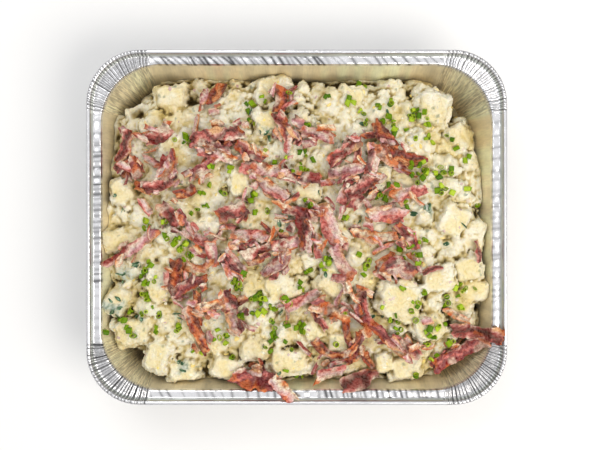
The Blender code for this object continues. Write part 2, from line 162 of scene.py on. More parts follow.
# Cut potato pieces, the many and then the ones that stand out: margin, half sizes, rise, tilt, squareness
# and the height of their sides
BLOCKS = 260
BLOCK_MARGIN = 20 * MM
BLOCK_HALVES = (3.6 * MM, 8.0 * MM)
BLOCK_RISE = (0.6 * MM, 2.8 * MM)
BLOCK_TILT = 0.35
BLOCK_SIDES = (5, 4 * MM)
CHUNK_RISE = (0.8 * MM, 1.8 * MM)
CHUNK_TILT = 0.12
CHUNK_SIDES = (7, 7 * MM)
BLOCK_BLEND = 0.25 * MM

# Rounded lumps: how many, sizes, rise (share of the size) and how smooth the ground under them is taken
LUMPS = ((650, (2.4 * MM, 5.0 * MM), 0.36, 1.5 * MM), (5200, (1.2 * MM, 2.3 * MM), 0.38, 1.0 * MM))
LUMP_MARGIN = 16 * MM
LUMP_BLEND = 0.35 * MM

# Relief of the dressing, of the potato faces and of the cracks, and the heap's rounded edge at the wall
COARSE_CURD = (0.5 * MM, 2.4 * MM)
FINE_CURD = (0.3 * MM, 1.0 * MM)
CHUNK_GRAIN = (0.12 * MM, 1.2 * MM)
CRACK_DEPTH = 1.2 * MM
CRACK_WIDTH = 0.24
EDGE_ROUND = (7.5 * MM, 2.5 * MM)
LEAST_ROUND = 3 * MM
EDGE_DROP = (2.4 * MM, 3.0 * MM)
LOW_CORNER = 4 * MM

# Potato pieces that stand out: place in the photograph (pixels), length and width (mm), turn (degrees)
SHOWN_CHUNKS = (
    (171, 98, 21, 15, -3), (431, 111, 23, 23, -12), (453, 146, 16, 18, 30), (270, 88, 21, 14, 10),
    (240, 184, 13, 17, 0), (268, 123, 18, 17, 20), (306, 189, 18, 17, 5), (380, 178, 15, 18, 12),
    (452, 221, 24, 21, 60), (474, 235, 15, 23, -20), (466, 269, 20, 17, 15), (474, 290, 22, 16, -8),
    (399, 300, 27, 22, -12), (438, 279, 22, 16, 12), (279, 287, 20, 21, 18), (289, 360, 27, 18, 4),
    (312, 331, 14, 15, 30), (338, 342, 15, 14, 0), (159, 355, 18, 22, -15), (184, 369, 22, 15, 8),
    (134, 331, 25, 20, 12), (119, 300, 17, 20, -30), (115, 241, 22, 17, 10), (124, 192, 16, 18, 25),
    (229, 367, 22, 15, -10), (405, 366, 24, 17, 6), (384, 362, 14, 14, 0), (160, 285, 20, 18, 35),
    (333, 281, 20, 18, -30), (428, 325, 20, 17, 20), (152, 127, 18, 15, 30), (352, 98, 18, 14, -12),
)
# Gaps in the heap that show dark, and rises against the wall (depth below 0): place (pixels), reach and
# depth (mm)
DARK_GAPS = (
    (137, 113, 6, 9), (193, 100, 6, 8), (305, 380, 6, 9), (115, 285, 5, 9), (478, 212, 6, 9),
    (375, 297, 5, 6), (480, 305, 5, 7), (233, 98, 5, 5), (211, 292, 5, 6), (246, 197, 5, 4),
    (487, 120, 13, 26), (487, 140, 12, 24), (486, 158, 9, 14), (105, 238, 12, -8), (105, 262, 9, -5),
    (103, 300, 12, -9), (105, 203, 9, -6), (106, 325, 9, -6),
)
# Dressed herbs that tint the surface: place and reach (pixels)
HERB_TINTS = (
    (265, 135, 7), (126, 277, 8), (117, 301, 10), (180, 315, 5), (283, 220, 6), (425, 210, 7),
    (112, 310, 7), (137, 263, 5), (183, 365, 6), (140, 317, 5),
)

# Bacon strips that replace a solid: place (pixels), heading (degrees), length, width (mm), bend (degrees)
# and kind
BACON_STRIPS = (
    (126, 148, 68, 28, 8, 40, "lean"), (218, 137, 8, 42, 10, -14, "lean"),
    (165, 169, 76, 21, 7, 20, "pink"), (137, 168, 100, 18, 8, -20, "mauve"),
    (161, 185, 24, 22, 8, 10, "lean"), (262, 169, -8, 32, 10, 12, "fat"),
    (217, 156, -12, 30, 8, -16, "fat"), (204, 169, 38, 25, 8, 14, "mauve"),
    (160, 136, 27, 23, 9, 8, "lean"), (250, 153, -33, 23, 9, 14, "lean"),
    (281, 101, 80, 21, 10, 12, "crisp"), (284, 128, -60, 25, 9, -18, "lean"),
    (215, 94, 59, 22, 8, 10, "crisp"), (300, 177, -4, 32, 8, 10, "half"),
    (274, 190, -38, 25, 8, 16, "fat"), (317, 135, -20, 27, 7, 12, "pink"),
    (344, 152, 35, 31, 8, -16, "lean"), (384, 136, -55, 27, 9, 10, "crisp"),
    (399, 158, -14, 38, 12, -16, "crisp"), (347, 172, 12, 30, 8, 14, "pink"),
    (371, 171, 76, 31, 9, -16, "half"), (407, 194, 12, 29, 8, 10, "fat"),
    (386, 215, -3, 29, 11, -10, "fat"), (300, 213, -14, 28, 9, 12, "mauve"),
    (331, 227, -64, 33, 13, 12, "fat"), (304, 233, -82, 28, 11, -12, "half"),
    (359, 188, 35, 26, 9, 12, "lean"), (406, 236, -48, 25, 8, -24, "lean"),
    (374, 235, -3, 34, 7, 14, "peach"), (232, 212, 20, 24, 11, -14, "lean"),
    (250, 236, -5, 28, 9, 12, "fat"), (262, 249, 20, 30, 7, -10, "lean"),
    (286, 243, 18, 23, 9, 16, "pink"), (197, 237, -28, 22, 8, 12, "fat"),
    (172, 215, -50, 22, 9, -12, "lean"), (134, 248, 30, 50, 7, 12, "pink"),
    (214, 253, -75, 20, 8, 10, "pink"), (237, 264, -50, 23, 9, -10, "half"),
    (277, 265, 35, 25, 8, -22, "pink"), (178, 275, -85, 23, 10, 18, "crisp"),
    (190, 285, 25, 29, 8, -12, "mauve"), (197, 329, -70, 40, 8, 20, "crisp"),
    (212, 304, 15, 22, 7, -14, "peach"), (234, 312, -72, 33, 9, 46, "half"),
    (303, 300, 25, 27, 8, -12, "fat"), (331, 310, -20, 33, 8, -16, "peach"),
    (338, 346, 10, 50, 6, 150, "crisp"), (363, 306, -76, 24, 8, 12, "lean"),
    (376, 329, -42, 30, 8, -10, "mauve"), (403, 346, -30, 30, 10, 10, "lean"),
    (342, 262, -58, 29, 10, 14, "pink"), (398, 268, -20, 26, 11, -12, "half"),
    (255, 376, -10, 34, 13, 12, "mauve"), (329, 372, 12, 24, 9, -12, "fat"),
    (359, 377, 14, 30, 9, 16, "lean"), (473, 331, -3, 38, 11, -12, "lean"),
    (457, 352, 26, 45, 9, 14, "mauve"), (283, 384, -50, 25, 9, 14, "fat"),
)
# Smaller strips between them: from and to (pixels), width (pixels) and kind
BACON_SCRAPS = (
    (193, 148, 199, 114, 6, "fat"), (118, 162, 135, 177, 12, "mauve"), (145, 158, 164, 168, 8, "fat"),
    (172, 157, 175, 181, 9, "pink"), (135, 186, 152, 192, 9, "crisp"), (143, 200, 152, 215, 9, "fat"),
    (177, 196, 196, 188, 8, "crisp"), (190, 250, 207, 254, 9, "pink"), (228, 206, 248, 217, 11, "lean"),
    (293, 120, 304, 129, 10, "pink"), (296, 147, 302, 133, 9, "lean"), (302, 146, 316, 142, 7, "pink"),
    (340, 205, 347, 184, 9, "fat"), (350, 208, 364, 198, 11, "mauve"), (316, 210, 332, 206, 8, "pink"),
    (317, 235, 319, 258, 7, "fat"), (236, 238, 250, 258, 10, "lean"), (247, 262, 263, 257, 10, "crisp"),
    (362, 137, 379, 134, 6, "lean"), (371, 145, 376, 168, 8, "fat"), (373, 253, 393, 242, 5, "pink"),
    (373, 270, 391, 275, 11, "lean"), (420, 272, 440, 266, 5, "lean"), (474, 239, 476, 262, 6, "lean"),
    (391, 345, 407, 357, 8, "peach"), (420, 320, 431, 319, 7, "pink"), (443, 308, 463, 320, 6, "peach"),
    (182, 264, 208, 270, 9, "peach"), (198, 290, 200, 327, 9, "crisp"),
    (207, 318, 232, 290, 6, "crisp"), (236, 303, 247, 297, 8, "crisp"), (313, 304, 325, 331, 8, "lean"),
    (344, 318, 351, 345, 7, "crisp"), (334, 304, 346, 284, 5, "pink"), (345, 362, 363, 350, 8, "crisp"),
    (362, 350, 373, 368, 8, "crisp"), (250, 362, 277, 379, 10, "lean"),
    (353, 338, 352, 352, 9, "mauve"), (196, 138, 237, 141, 9, "lean"),
    (428, 364, 453, 353, 12, "mauve"), (378, 266, 398, 256, 14, "peach"),
)

# How the strips are shaped and laid: thickness, taper, slanting ends, twist, curl and the wall under them
BACON_CELL = 0.75 * MM
BACON_THICKNESS = 1.3 * MM
LEAST_THICKNESS = 0.4 * MM
STRIP_BRIGHTNESS = (0.84, 1.12)
BACON_GAP = 0.2 * MM
STRIP_HALF = 0.57
WANDER = math.radians(3)
MOST_TAPER = 0.3
MOST_SLANT = 0.5
MOST_TWIST_RISE = 3.4 * MM
MOST_FALL = 20 * MM
SETTLING_STEPS = 46
FULL_CURL_LENGTH = 16 * MM
SIDE_CURL = (-0.6 * MM, 1.9 * MM)
END_CURL = (-0.5 * MM, 2.6 * MM)
RIPPLE = 0.75 * MM
CRUMPLE = 0.28 * MM
TORN_END = 0.7 * MM
WALL_LEVELS = 60
WALL_CLEAR = 1.5 * MM

# Torn bits beside the strips: how many to a strip, sizes, kinds and how far from the wall
BITS_PER_STRIP = 5
BIT_LENGTHS = (5 * MM, 14 * MM)
BIT_WIDTHS = (2.4 * MM, 6.0 * MM)
BIT_KINDS = ("lean", "pink", "fat", "peach", "half", "mauve", "pink", "peach")
BIT_ROOM = 12 * MM

# Cut chives: cluster (pixels), reach (pixels) and count
CHIVE_CLUSTERS = (
    (300, 160, 14, 10), (310, 122, 6, 2), (350, 103, 6, 3), (365, 117, 8, 4), (388, 100, 5, 2),
    (380, 108, 4, 2), (388, 122, 6, 3), (395, 127, 4, 2), (403, 130, 3, 1), (396, 135, 3, 1),
    (412, 117, 6, 4), (420, 115, 6, 4), (426, 123, 4, 3), (413, 138, 3, 1), (425, 137, 6, 3),
    (434, 145, 3, 1), (450, 138, 5, 2), (457, 148, 3, 1), (467, 160, 4, 2), (437, 172, 6, 4),
    (450, 172, 8, 5), (440, 188, 6, 4), (468, 189, 4, 2), (451, 195, 3, 1), (477, 205, 2, 1),
    (415, 172, 12, 16), (378, 196, 8, 5), (390, 188, 6, 3), (407, 205, 4, 2), (410, 231, 4, 2),
    (421, 238, 6, 3), (405, 250, 8, 5), (416, 258, 5, 3), (366, 263, 6, 4), (357, 253, 3, 1),
    (363, 277, 3, 1), (403, 287, 4, 2), (421, 292, 4, 2), (382, 305, 3, 1), (413, 305, 6, 4),
    (415, 320, 3, 1), (395, 322, 8, 6), (399, 331, 4, 2), (428, 333, 8, 6), (428, 343, 6, 3),
    (440, 325, 5, 3), (446, 301, 5, 3), (460, 309, 4, 2), (456, 290, 6, 5), (467, 289, 4, 2),
    (475, 287, 3, 1), (450, 340, 4, 3), (415, 372, 3, 1), (433, 357, 4, 2), (240, 281, 10, 12),
    (255, 294, 8, 6), (264, 305, 8, 6), (273, 307, 4, 3), (285, 300, 6, 5), (245, 312, 6, 3),
    (253, 314, 5, 3), (297, 325, 8, 5), (285, 324, 4, 2), (272, 322, 4, 2), (271, 330, 6, 3),
    (276, 336, 4, 2), (284, 343, 3, 1), (292, 346, 3, 1), (270, 345, 5, 3), (286, 366, 3, 1),
    (299, 373, 4, 2), (232, 355, 4, 2), (226, 338, 6, 3), (216, 334, 6, 3), (194, 350, 3, 1),
    (201, 354, 3, 1), (178, 330, 8, 4), (159, 331, 5, 3), (161, 316, 4, 2), (149, 308, 8, 4),
    (146, 295, 5, 4), (148, 278, 8, 6), (148, 266, 5, 3), (158, 278, 5, 2), (168, 276, 3, 1),
    (123, 318, 5, 3), (131, 325, 4, 2), (137, 333, 3, 1), (112, 330, 4, 2), (132, 311, 4, 2),
    (180, 245, 9, 9), (187, 255, 6, 4), (168, 238, 4, 2), (147, 225, 5, 3), (163, 219, 4, 2),
    (195, 213, 5, 2), (205, 205, 4, 2), (202, 194, 3, 2), (221, 194, 4, 2), (209, 186, 3, 1),
    (212, 170, 4, 2), (230, 168, 5, 3), (176, 138, 3, 1), (187, 140, 6, 4), (251, 123, 4, 2),
    (252, 107, 6, 3), (265, 98, 5, 2), (289, 95, 3, 1), (266, 155, 4, 2), (275, 163, 3, 1),
    (308, 203, 5, 3), (265, 210, 3, 1), (256, 209, 4, 2), (255, 198, 5, 3), (282, 232, 3, 1),
    (343, 220, 6, 3), (327, 262, 8, 8), (308, 268, 5, 4), (301, 285, 5, 3), (346, 312, 3, 1),
    (336, 340, 3, 1), (362, 90, 6, 2), (325, 97, 5, 2),
)
CHIVE_RADII = (1.4 * MM, 2.5 * MM)
CHIVE_LENGTHS = (1.4 * MM, 5.0 * MM)
CHIVE_SIDES = 12
CHIVE_WALL = 0.55 * MM
STANDING_SHARE = 0.4

# Herb leaves: how many to a tinted place and elsewhere, lengths, widths and how far from the wall
LEAVES_PER_TINT = 3
LOOSE_LEAVES = 26
LEAF_LENGTHS = (2.6 * MM, 8.0 * MM)
LEAF_WIDTHS = (1.2 * MM, 3.4 * MM)
LEAF_THICKNESS = 0.22 * MM
LEAF_ROOM = 7 * MM
LOOSE_LEAF_ROOM = 8 * MM
BIT_WALL_ROOM = 6 * MM
SCATTER_REACH = 0.46
CRUMB_UNEVEN = 0.18
SHARP = 48

# Colours in the photograph, 0 to 255
CREAM = (254, 247, 224)
CREAM_SHADE = (248, 231, 184)
POTATO = (248, 228, 160)
YELLOW = (234, 206, 108)
# Painted shade in the salad's hollows: warm in shallow ones, darker in crevices and darkest in pits
WARM_SHADE = (222, 198, 122)
CREVICE_SHADE = (124, 92, 26)
PIT_SHADE = (58, 40, 8)
HERB_GREEN = (92, 122, 96)
HERB_PALE = (206, 216, 206)
BLUSH = (228, 190, 166)
FAT = (255, 238, 214)
FAT_PINK = (248, 190, 176)
LILAC = (242, 202, 204)
LEAN = (164, 38, 40)
LEAN_DARK = (78, 8, 10)
MAUVE = (132, 42, 62)
MAUVE_PALE = (208, 130, 140)
ROSE = (230, 130, 122)
PEACH = (252, 194, 134)
ORANGE = (226, 112, 26)
BROWN = (118, 34, 6)
CHIVE = (128, 162, 8)
CHIVE_PALE = (204, 224, 70)
CHIVE_DARK = (54, 98, 2)
CHIVE_INSIDE = (190, 206, 66)
LEAF = (58, 92, 70)
LEAF_PALE = (140, 168, 146)
ONION = (204, 170, 172)
EGG = (250, 224, 124)
FOIL = (252, 252, 255)
# Painted shade on the foil's step
STEP_SHADE = (214, 220, 214)
# The foil wall's colour, a painted reflection of the salad, and at its foot also painted shade
WALL_REFLECTION = (255, 242, 206)
WALL_FOOT_SHADE = (232, 210, 162)

# Small bits: name, count, sizes (mm), flatness, colour and the share of the size that is sunk
SMALL_BITS = (
    ("onion_bits", 130, (1.0, 2.2), 0.4, ONION, 0.15),
    ("egg_crumbs", 170, (1.0, 2.6), 0.5, EGG, 0.25),
    ("potato_crumbs", 300, (0.8, 2.3), 0.7, CREAM, 0.3),
)

# Layers across a strip, from -1 to 1 of its half width
BACON_LAYERS = {
    "lean": (
        (-1.0, PEACH), (-0.82, FAT_PINK), (-0.6, LEAN), (-0.1, LEAN_DARK), (0.15, LEAN), (0.5, ROSE),
        (0.7, FAT_PINK), (1.0, FAT),
    ),
    "mauve": (
        (-1.0, ORANGE), (-0.8, LEAN), (-0.35, MAUVE), (0.05, ROSE), (0.3, MAUVE), (0.6, LEAN),
        (0.8, FAT_PINK), (1.0, FAT),
    ),
    "fat": (
        (-1.0, ORANGE), (-0.75, PEACH), (-0.45, FAT), (0.15, LILAC), (0.45, FAT_PINK), (0.62, ROSE),
        (0.82, LEAN), (1.0, ROSE),
    ),
    "pink": (
        (-1.0, PEACH), (-0.7, FAT_PINK), (-0.3, MAUVE_PALE), (0.1, LILAC), (0.45, FAT),
        (0.75, FAT_PINK), (1.0, LEAN),
    ),
    "half": (
        (-1.0, LEAN), (-0.55, LEAN_DARK), (-0.15, MAUVE), (0.0, ROSE), (0.2, FAT), (0.75, LILAC),
        (1.0, PEACH),
    ),
    "peach": (
        (-1.0, ORANGE), (-0.6, PEACH), (-0.1, FAT), (0.3, PEACH), (0.6, FAT_PINK), (0.85, PEACH),
        (1.0, ORANGE),
    ),
    "crisp": (
        (-1.0, BROWN), (-0.65, ORANGE), (-0.25, LEAN), (0.05, LEAN_DARK), (0.3, ORANGE), (0.6, PEACH),
        (0.8, ORANGE), (1.0, BROWN),
    ),
}

# Each material's constant values
SALAD_FINISH = {
    "Roughness": 0.42, "Specular IOR Level": 0.18, "Subsurface Weight": 0.12,
    "Subsurface Radius": (1.0, 0.75, 0.45), "Subsurface Scale": 2.5 * MM,
}
BACON_FINISH = {
    "Roughness": 0.3, "Specular IOR Level": 0.16, "Subsurface Weight": 0.08,
    "Subsurface Radius": (1.0, 0.4, 0.3), "Subsurface Scale": 2 * MM,
}
GREEN_FINISH = {
    "Roughness": 0.38, "Specular IOR Level": 0.16, "Subsurface Weight": 0.08, "Subsurface Scale": 1 * MM,
}
CRUMB_FINISH = {"Roughness": 0.36, "Subsurface Weight": 0.1, "Subsurface Scale": 1 * MM}
FOIL_FINISH = {"Roughness": 0.24, "Metallic": 1.0}
FLOOR_FINISH = {"Roughness": 0.8, "Base Color": (0.88, 0.88, 0.88, 1)}

# What darkens the mesh's colours: painted shade in the hollows of the salad's curds, and darker mottles and
# flecks of the bacon's, greens' and crumbs' own colour
SALAD_SHADE = (0.90, 0.82, 0.56)
BACON_SHADE = (0.60, 0.38, 0.34)
GREEN_SHADE = (0.72, 0.76, 0.50)
CRUMB_SHADE = (0.84, 0.80, 0.70)

# Noise scales, with the flecks' lower edge where there is one, ranges of roughness and metal, bump depths
CURD_SCALE = 430
SMEAR_SCALE = 150
FINE_SCALE = 1300
GRAIN_SCALE = 1500
GREEN_FLECKS = (1100, 0.35)
CRUMB_FLECKS = (1200, 0.3)
SALAD_ROUGHNESS = (0.42, 0.24)
BACON_ROUGHNESS = (0.16, 0.38)
FOIL_ROUGHNESS = (0.42, 0.22)
FOIL_METAL = (0.25, 1.0)
# Painted shade and highlight along the foil's fine creases
FINE_CREASE_SHADE_AND_HIGHLIGHT = (0.46, 1.18)
OUTWARD_WEIGHT = 10
OUTER_SATURATION = 0.06
SALAD_BUMP = 2.3 * MM
BACON_BUMP = 1.3 * MM
GREEN_BUMP = 0.3 * MM
CRUMB_BUMP = 0.4 * MM
FOIL_BUMP = 1.0 * MM

# Studio: the lamps' places, sizes, watts and colours, what they aim at, the sky from foot to top, the floor
LAMPS = (
    ("key", (0.72, -0.5, 1.15), 0.8, 11.8, (1.0, 0.95, 0.88)),
    ("fill", (-0.45, 0.8, 1.2), 0.9, 5.4, (1.0, 1.0, 1.0)),
)
LAMP_AIM = (0, 0, 0.05)
SKY = (0.5, 1.05)
SKY_STRENGTH = 0.75
FLOOR_HALF = 4.0
FLOOR_DROP = 0.2 * MM


def linear(colour):
    """A colour of 0 to 255 in scene-linear values."""
    share = np.asarray(colour, float) / 255
    return np.where(share <= 0.04045, share / 12.92, ((share + 0.055) / 1.055) ** 2.4)


def step(low, high, value):
    """0 below low, 1 above high, smooth between."""
    share = np.clip((value - low) / (high - low), 0, 1)
    return share * share * (3 - 2 * share)


def mix(a, b, share):
    """Between colours a and b, by an array of shares."""
    return a + (b - a) * np.asarray(share)[..., None]


def blur(values, sigma):
    """Gaussian blur of a grid, sigma in cells, with the edge values carried on."""
    reach = max(1, int(3 * sigma + 0.5))
    weights = np.exp(-0.5 * (np.arange(-reach, reach + 1) / sigma) ** 2)
    weights /= weights.sum()
    for axis in (0, 1):
        padded = np.pad(values, [(reach, reach) if axis == k else (0, 0) for k in (0, 1)], mode="edge")
        size = values.shape[axis]
        values = sum(w * np.take(padded, range(k, k + size), axis) for k, w in enumerate(weights))
    return values


def soft_max(a, b, width):
    """The larger of two heights, rounded over a width where they meet."""
    return 0.5 * (a + b + np.sqrt((a - b) ** 2 + width**2)) - width / 2


def cloud(draw, shape, sigma):
    """Smooth noise of spread 1, with bumps of about sigma cells."""
    field = blur(draw.standard_normal(shape), sigma)
    return (field - field.mean()) / field.std()


def waver(draw, count, sigma):
    """Smooth noise of spread 1 along a line of count places."""
    reach = int(3 * sigma) + 1
    weights = np.exp(-0.5 * (np.arange(-reach, reach + 1) / sigma) ** 2)
    line = np.convolve(draw.standard_normal(count + 2 * reach), weights / weights.sum(), "valid")
    return line / (np.sqrt((weights**2).sum()) / weights.sum())


def wall_inset(z):
    """How far the foil wall's outer face lies inside the tray's overall size, at height z."""
    return FLOOR_INSET + (SHELF_INNER_INSET - FLOOR_INSET) * np.clip(z / SHELF_Z, 0, 1)


def wall_corner(z):
    """Corner radius of the foil wall at height z."""
    return FLOOR_CORNER_RADIUS + (OPENING_CORNER_RADIUS - FLOOR_CORNER_RADIUS) * np.clip(z / SHELF_Z, 0, 1)


def outline_room(x, y, inset, radius):
    """How far points lie inside a rounded outline, and the way out from there."""
    dx = np.abs(x) - (TRAY_LENGTH / 2 - inset - radius)
    dy = np.abs(y) - (TRAY_WIDTH / 2 - inset - radius)
    out_x, out_y = np.maximum(dx, 0), np.maximum(dy, 0)
    reach = np.hypot(out_x, out_y)
    room = radius - reach - np.minimum(np.maximum(dx, dy), 0)
    inner = reach == 0
    way_x = np.where(inner, dx >= dy, out_x / np.maximum(reach, 1e-12)) * np.sign(x)
    way_y = np.where(inner, dx < dy, out_y / np.maximum(reach, 1e-12)) * np.sign(y)
    return room, way_x, way_y


def wall_room(x, y, z):
    """How far points lie inside the foil wall's outer face at height z, and the way out."""
    return outline_room(x, y, wall_inset(z), wall_corner(z))


def heap_level(x, y):
    """Height of the salad's core over points of the base."""
    along = (np.abs(x) / (TRAY_LENGTH / 2)) ** 4
    across = (np.abs(y) / (TRAY_WIDTH / 2)) ** 4
    both = along + across + 1e-9
    end_level = np.where(x < 0, LEVEL_LEFT, LEVEL_RIGHT)
    side_level = np.where(y > 0, LEVEL_BACK, LEVEL_FRONT)
    straight = (along * end_level + across * side_level) / both
    wall = straight + (LEVEL_CORNER - straight) * 2 * np.minimum(along, across) / both
    share = np.clip(wall_room(x, y, SHELF_Z)[0] / CROWN_REACH, 0, 1)
    return wall + (CROWN - wall) * (1 - (1 - share) ** 2)


def tray_point(photo_x, photo_y):
    """The (x, y) on the heap that the photograph shows at a pixel, seen from straight above the tray."""
    x = (photo_x - PHOTO_TRAY_CENTRE[0]) * PIXEL_AT_RIM
    y = (PHOTO_TRAY_CENTRE[1] - photo_y) * PIXEL_AT_RIM
    depth = 1 + (TRAY_HEIGHT - heap_level(x, y)) / EYE_ABOVE_RIM
    return float(x * depth), float(y * depth)


class Map:
    """Heights over a regular grid of the tray's plan."""

    def __init__(self, cell):
        self.cell = cell
        self.x = np.arange(-TRAY_LENGTH / 2, TRAY_LENGTH / 2 + cell, cell)
        self.y = np.arange(-TRAY_WIDTH / 2, TRAY_WIDTH / 2 + cell, cell)
        self.grid_x, self.grid_y = np.meshgrid(self.x, self.y, indexing="ij")
        self.z = np.zeros(self.grid_x.shape)

    def place(self, x, y):
        """Grid coordinates of points, kept on the grid."""
        i = np.clip((np.asarray(x) - self.x[0]) / self.cell, 0, len(self.x) - 1.001)
        j = np.clip((np.asarray(y) - self.y[0]) / self.cell, 0, len(self.y) - 1.001)
        return i, j

    def sample(self, x, y, values=None):
        """Values at points, between the grid's own."""
        values = self.z if values is None else values
        i, j = self.place(x, y)
        i0, j0 = i.astype(int), j.astype(int)
        a, b = i - i0, j - j0
        low = values[i0, j0] * (1 - a) + values[i0 + 1, j0] * a
        high = values[i0, j0 + 1] * (1 - a) + values[i0 + 1, j0 + 1] * a
        return low * (1 - b) + high * b

    def noise(self, draw, size):
        """Smooth noise of spread 1 over the map, with bumps of about the size."""
        return cloud(draw, self.z.shape, size / self.cell)

    def blurred(self, values, size):
        """Values over the map, smoothed over the size."""
        return blur(values, size / self.cell)

    def window(self, x, y, reach):
        """The cell under a point, and the rows and columns within reach of it."""
        i, j = (int(v) for v in self.place(x, y))
        span = int(reach / self.cell) + 2
        return i, j, slice(max(i - span, 0), i + span + 1), slice(max(j - span, 0), j + span + 1)

    def aligned(self, x, y, turn, rows=slice(None), cols=slice(None)):
        """How far cells lie from a point, along a direction and across it."""
        dx, dy = self.grid_x[rows, cols] - x, self.grid_y[rows, cols] - y
        return dx * math.cos(turn) + dy * math.sin(turn), dy * math.cos(turn) - dx * math.sin(turn)

    def raise_to(self, x, y, z):
        """Lifts the map to points that lie over it."""
        i, j = self.place(x, y)
        np.maximum.at(self.z, (np.rint(i).astype(int), np.rint(j).astype(int)), z)

    def slope(self, x, y):
        """The upward normal near a point."""
        reach = 1.5 * self.cell
        rise_x = self.sample(x + reach, y) - self.sample(x - reach, y)
        rise_y = self.sample(x, y + reach) - self.sample(x, y - reach)
        return Vector((float(-rise_x), float(-rise_y), 2 * reach)).normalized()


def shader(name, constants):
    """A new material with constant values on its Principled shader, its node tree and that shader."""
    made = bpy.data.materials.new(name)
    made.use_nodes = True
    principled = made.node_tree.nodes["Principled BSDF"]
    for socket, value in constants.items():
        principled.inputs[socket].default_value = value
    return made, made.node_tree, principled


def add_node(tree, kind, inputs=None, **settings):
    """A node with its settings and inputs; an input that is a socket gets linked."""
    node = tree.nodes.new(kind)
    for key, value in settings.items():
        setattr(node, key, value)
    for key, value in (inputs or {}).items():
        if isinstance(value, bpy.types.NodeSocket):
            tree.links.new(value, node.inputs[key])
        else:
            node.inputs[key].default_value = value
    return node


def noise(tree, scale, detail=3.0, rough=0.5, distort=0.0):
    """The grey output of a noise texture on the object's own coordinates."""
    where = tree.nodes.get("Place") or add_node(tree, "ShaderNodeTexCoord", name="Place")
    return add_node(tree, "ShaderNodeTexNoise", {
        "Vector": where.outputs["Object"], "Scale": scale, "Detail": detail, "Roughness": rough,
        "Distortion": distort,
    }).outputs["Fac"]


def ranged(tree, value, low, high, to_low, to_high):
    """A value moved from one range to another, held at its ends."""
    return add_node(tree, "ShaderNodeMapRange", {
        "Value": value, "From Min": low, "From Max": high, "To Min": to_low, "To Max": to_high,
    }).outputs["Result"]


def blended(tree, share, a, b, how="MIX"):
    """Colour a blended with colour b by a share."""
    made = add_node(tree, "ShaderNodeMix", data_type="RGBA", blend_type=how)
    for socket, value in ((0, share), (6, a), (7, b)):
        if isinstance(value, bpy.types.NodeSocket):
            tree.links.new(value, made.inputs[socket])
        elif socket == 0:
            made.inputs[0].default_value = value
        else:
            made.inputs[socket].default_value = (*value, 1) if len(value) == 3 else value
    return made.outputs[2]


def worked(tree, operation, a, b):
    """The result of a sum on two values."""
    return add_node(tree, "ShaderNodeMath", {0: a, 1: b}, operation=operation).outputs[0]


def painted(tree, name="tint"):
    """The colour that the mesh carries."""
    return add_node(tree, "ShaderNodeAttribute", attribute_name=name).outputs["Color"]


def dappled(tree, share, dark, light=None):
    """The mesh's colour, times a dark tone where the share is 0; its own or a light one where it is 1."""
    shaded = blended(tree, 1.0, painted(tree), dark, "MULTIPLY")
    return blended(tree, share, shaded, painted(tree) if light is None else light)


def bumped(tree, principled, height, distance, strength=1.0):
    """Gives the shader a bump from a height value."""
    inputs = {"Height": height, "Distance": distance, "Strength": strength}
    bump = add_node(tree, "ShaderNodeBump", inputs)
    tree.links.new(bump.outputs["Normal"], principled.inputs["Normal"])


def salad_material():
    """Dressed potato: the mesh's colour, with painted shade in the hollows of the curds, broken up by
    smears of dressing.
    """
    made, tree, principled = shader("dressed_potato", SALAD_FINISH)
    curd = noise(tree, CURD_SCALE, 4, 0.6, 0.5)
    smear = ranged(tree, noise(tree, SMEAR_SCALE, 5, 0.6, 0.6), 0.40, 0.62, 0.0, 1.0)
    # Painted shade in the hollows of the curds, whose noise is also their bump
    low = blended(tree, 1.0, painted(tree), SALAD_SHADE, "MULTIPLY")
    low = blended(tree, ranged(tree, curd, 0.36, 0.56, 0.85, 0.0), painted(tree), low)
    tree.links.new(blended(tree, smear, low, painted(tree)), principled.inputs["Base Color"])
    tree.links.new(ranged(tree, smear, 0, 1, *SALAD_ROUGHNESS), principled.inputs["Roughness"])
    fine = worked(tree, "MULTIPLY", noise(tree, FINE_SCALE, 3, 0.6), 0.35)
    bumped(tree, principled, worked(tree, "ADD", curd, fine), SALAD_BUMP)
    return made


def bacon_material():
    """Fried bacon: the mesh's bands of lean and fat, with fibres, blisters and a wet shine."""
    made, tree, principled = shader("fried_bacon", BACON_FINISH)
    mottle = ranged(tree, noise(tree, 420, 5, 0.65, 0.5), 0.34, 0.58, 0.0, 1.0)
    light = blended(tree, 0.12, painted(tree), tuple(linear(FAT)))
    tree.links.new(dappled(tree, mottle, BACON_SHADE, light), principled.inputs["Base Color"])
    tree.links.new(ranged(tree, mottle, 0, 1, *BACON_ROUGHNESS), principled.inputs["Roughness"])
    relief = worked(tree, "ADD", noise(tree, 380, 4, 0.6, 1.2), noise(tree, FINE_SCALE, 3, 0.6))
    bumped(tree, principled, relief, BACON_BUMP, 0.9)
    return made


def small_material(name, finish, spots, shade, bump):
    """Small things: the mesh's colour with fine flecks of a darker tone and a fine grain."""
    made, tree, principled = shader(name, finish)
    fleck = ranged(tree, noise(tree, spots[0], 3, 0.6), spots[1], 0.7, 0.0, 1.0)
    tree.links.new(dappled(tree, fleck, shade), principled.inputs["Base Color"])
    bumped(tree, principled, noise(tree, GRAIN_SCALE, 2), bump, 0.6)
    return made


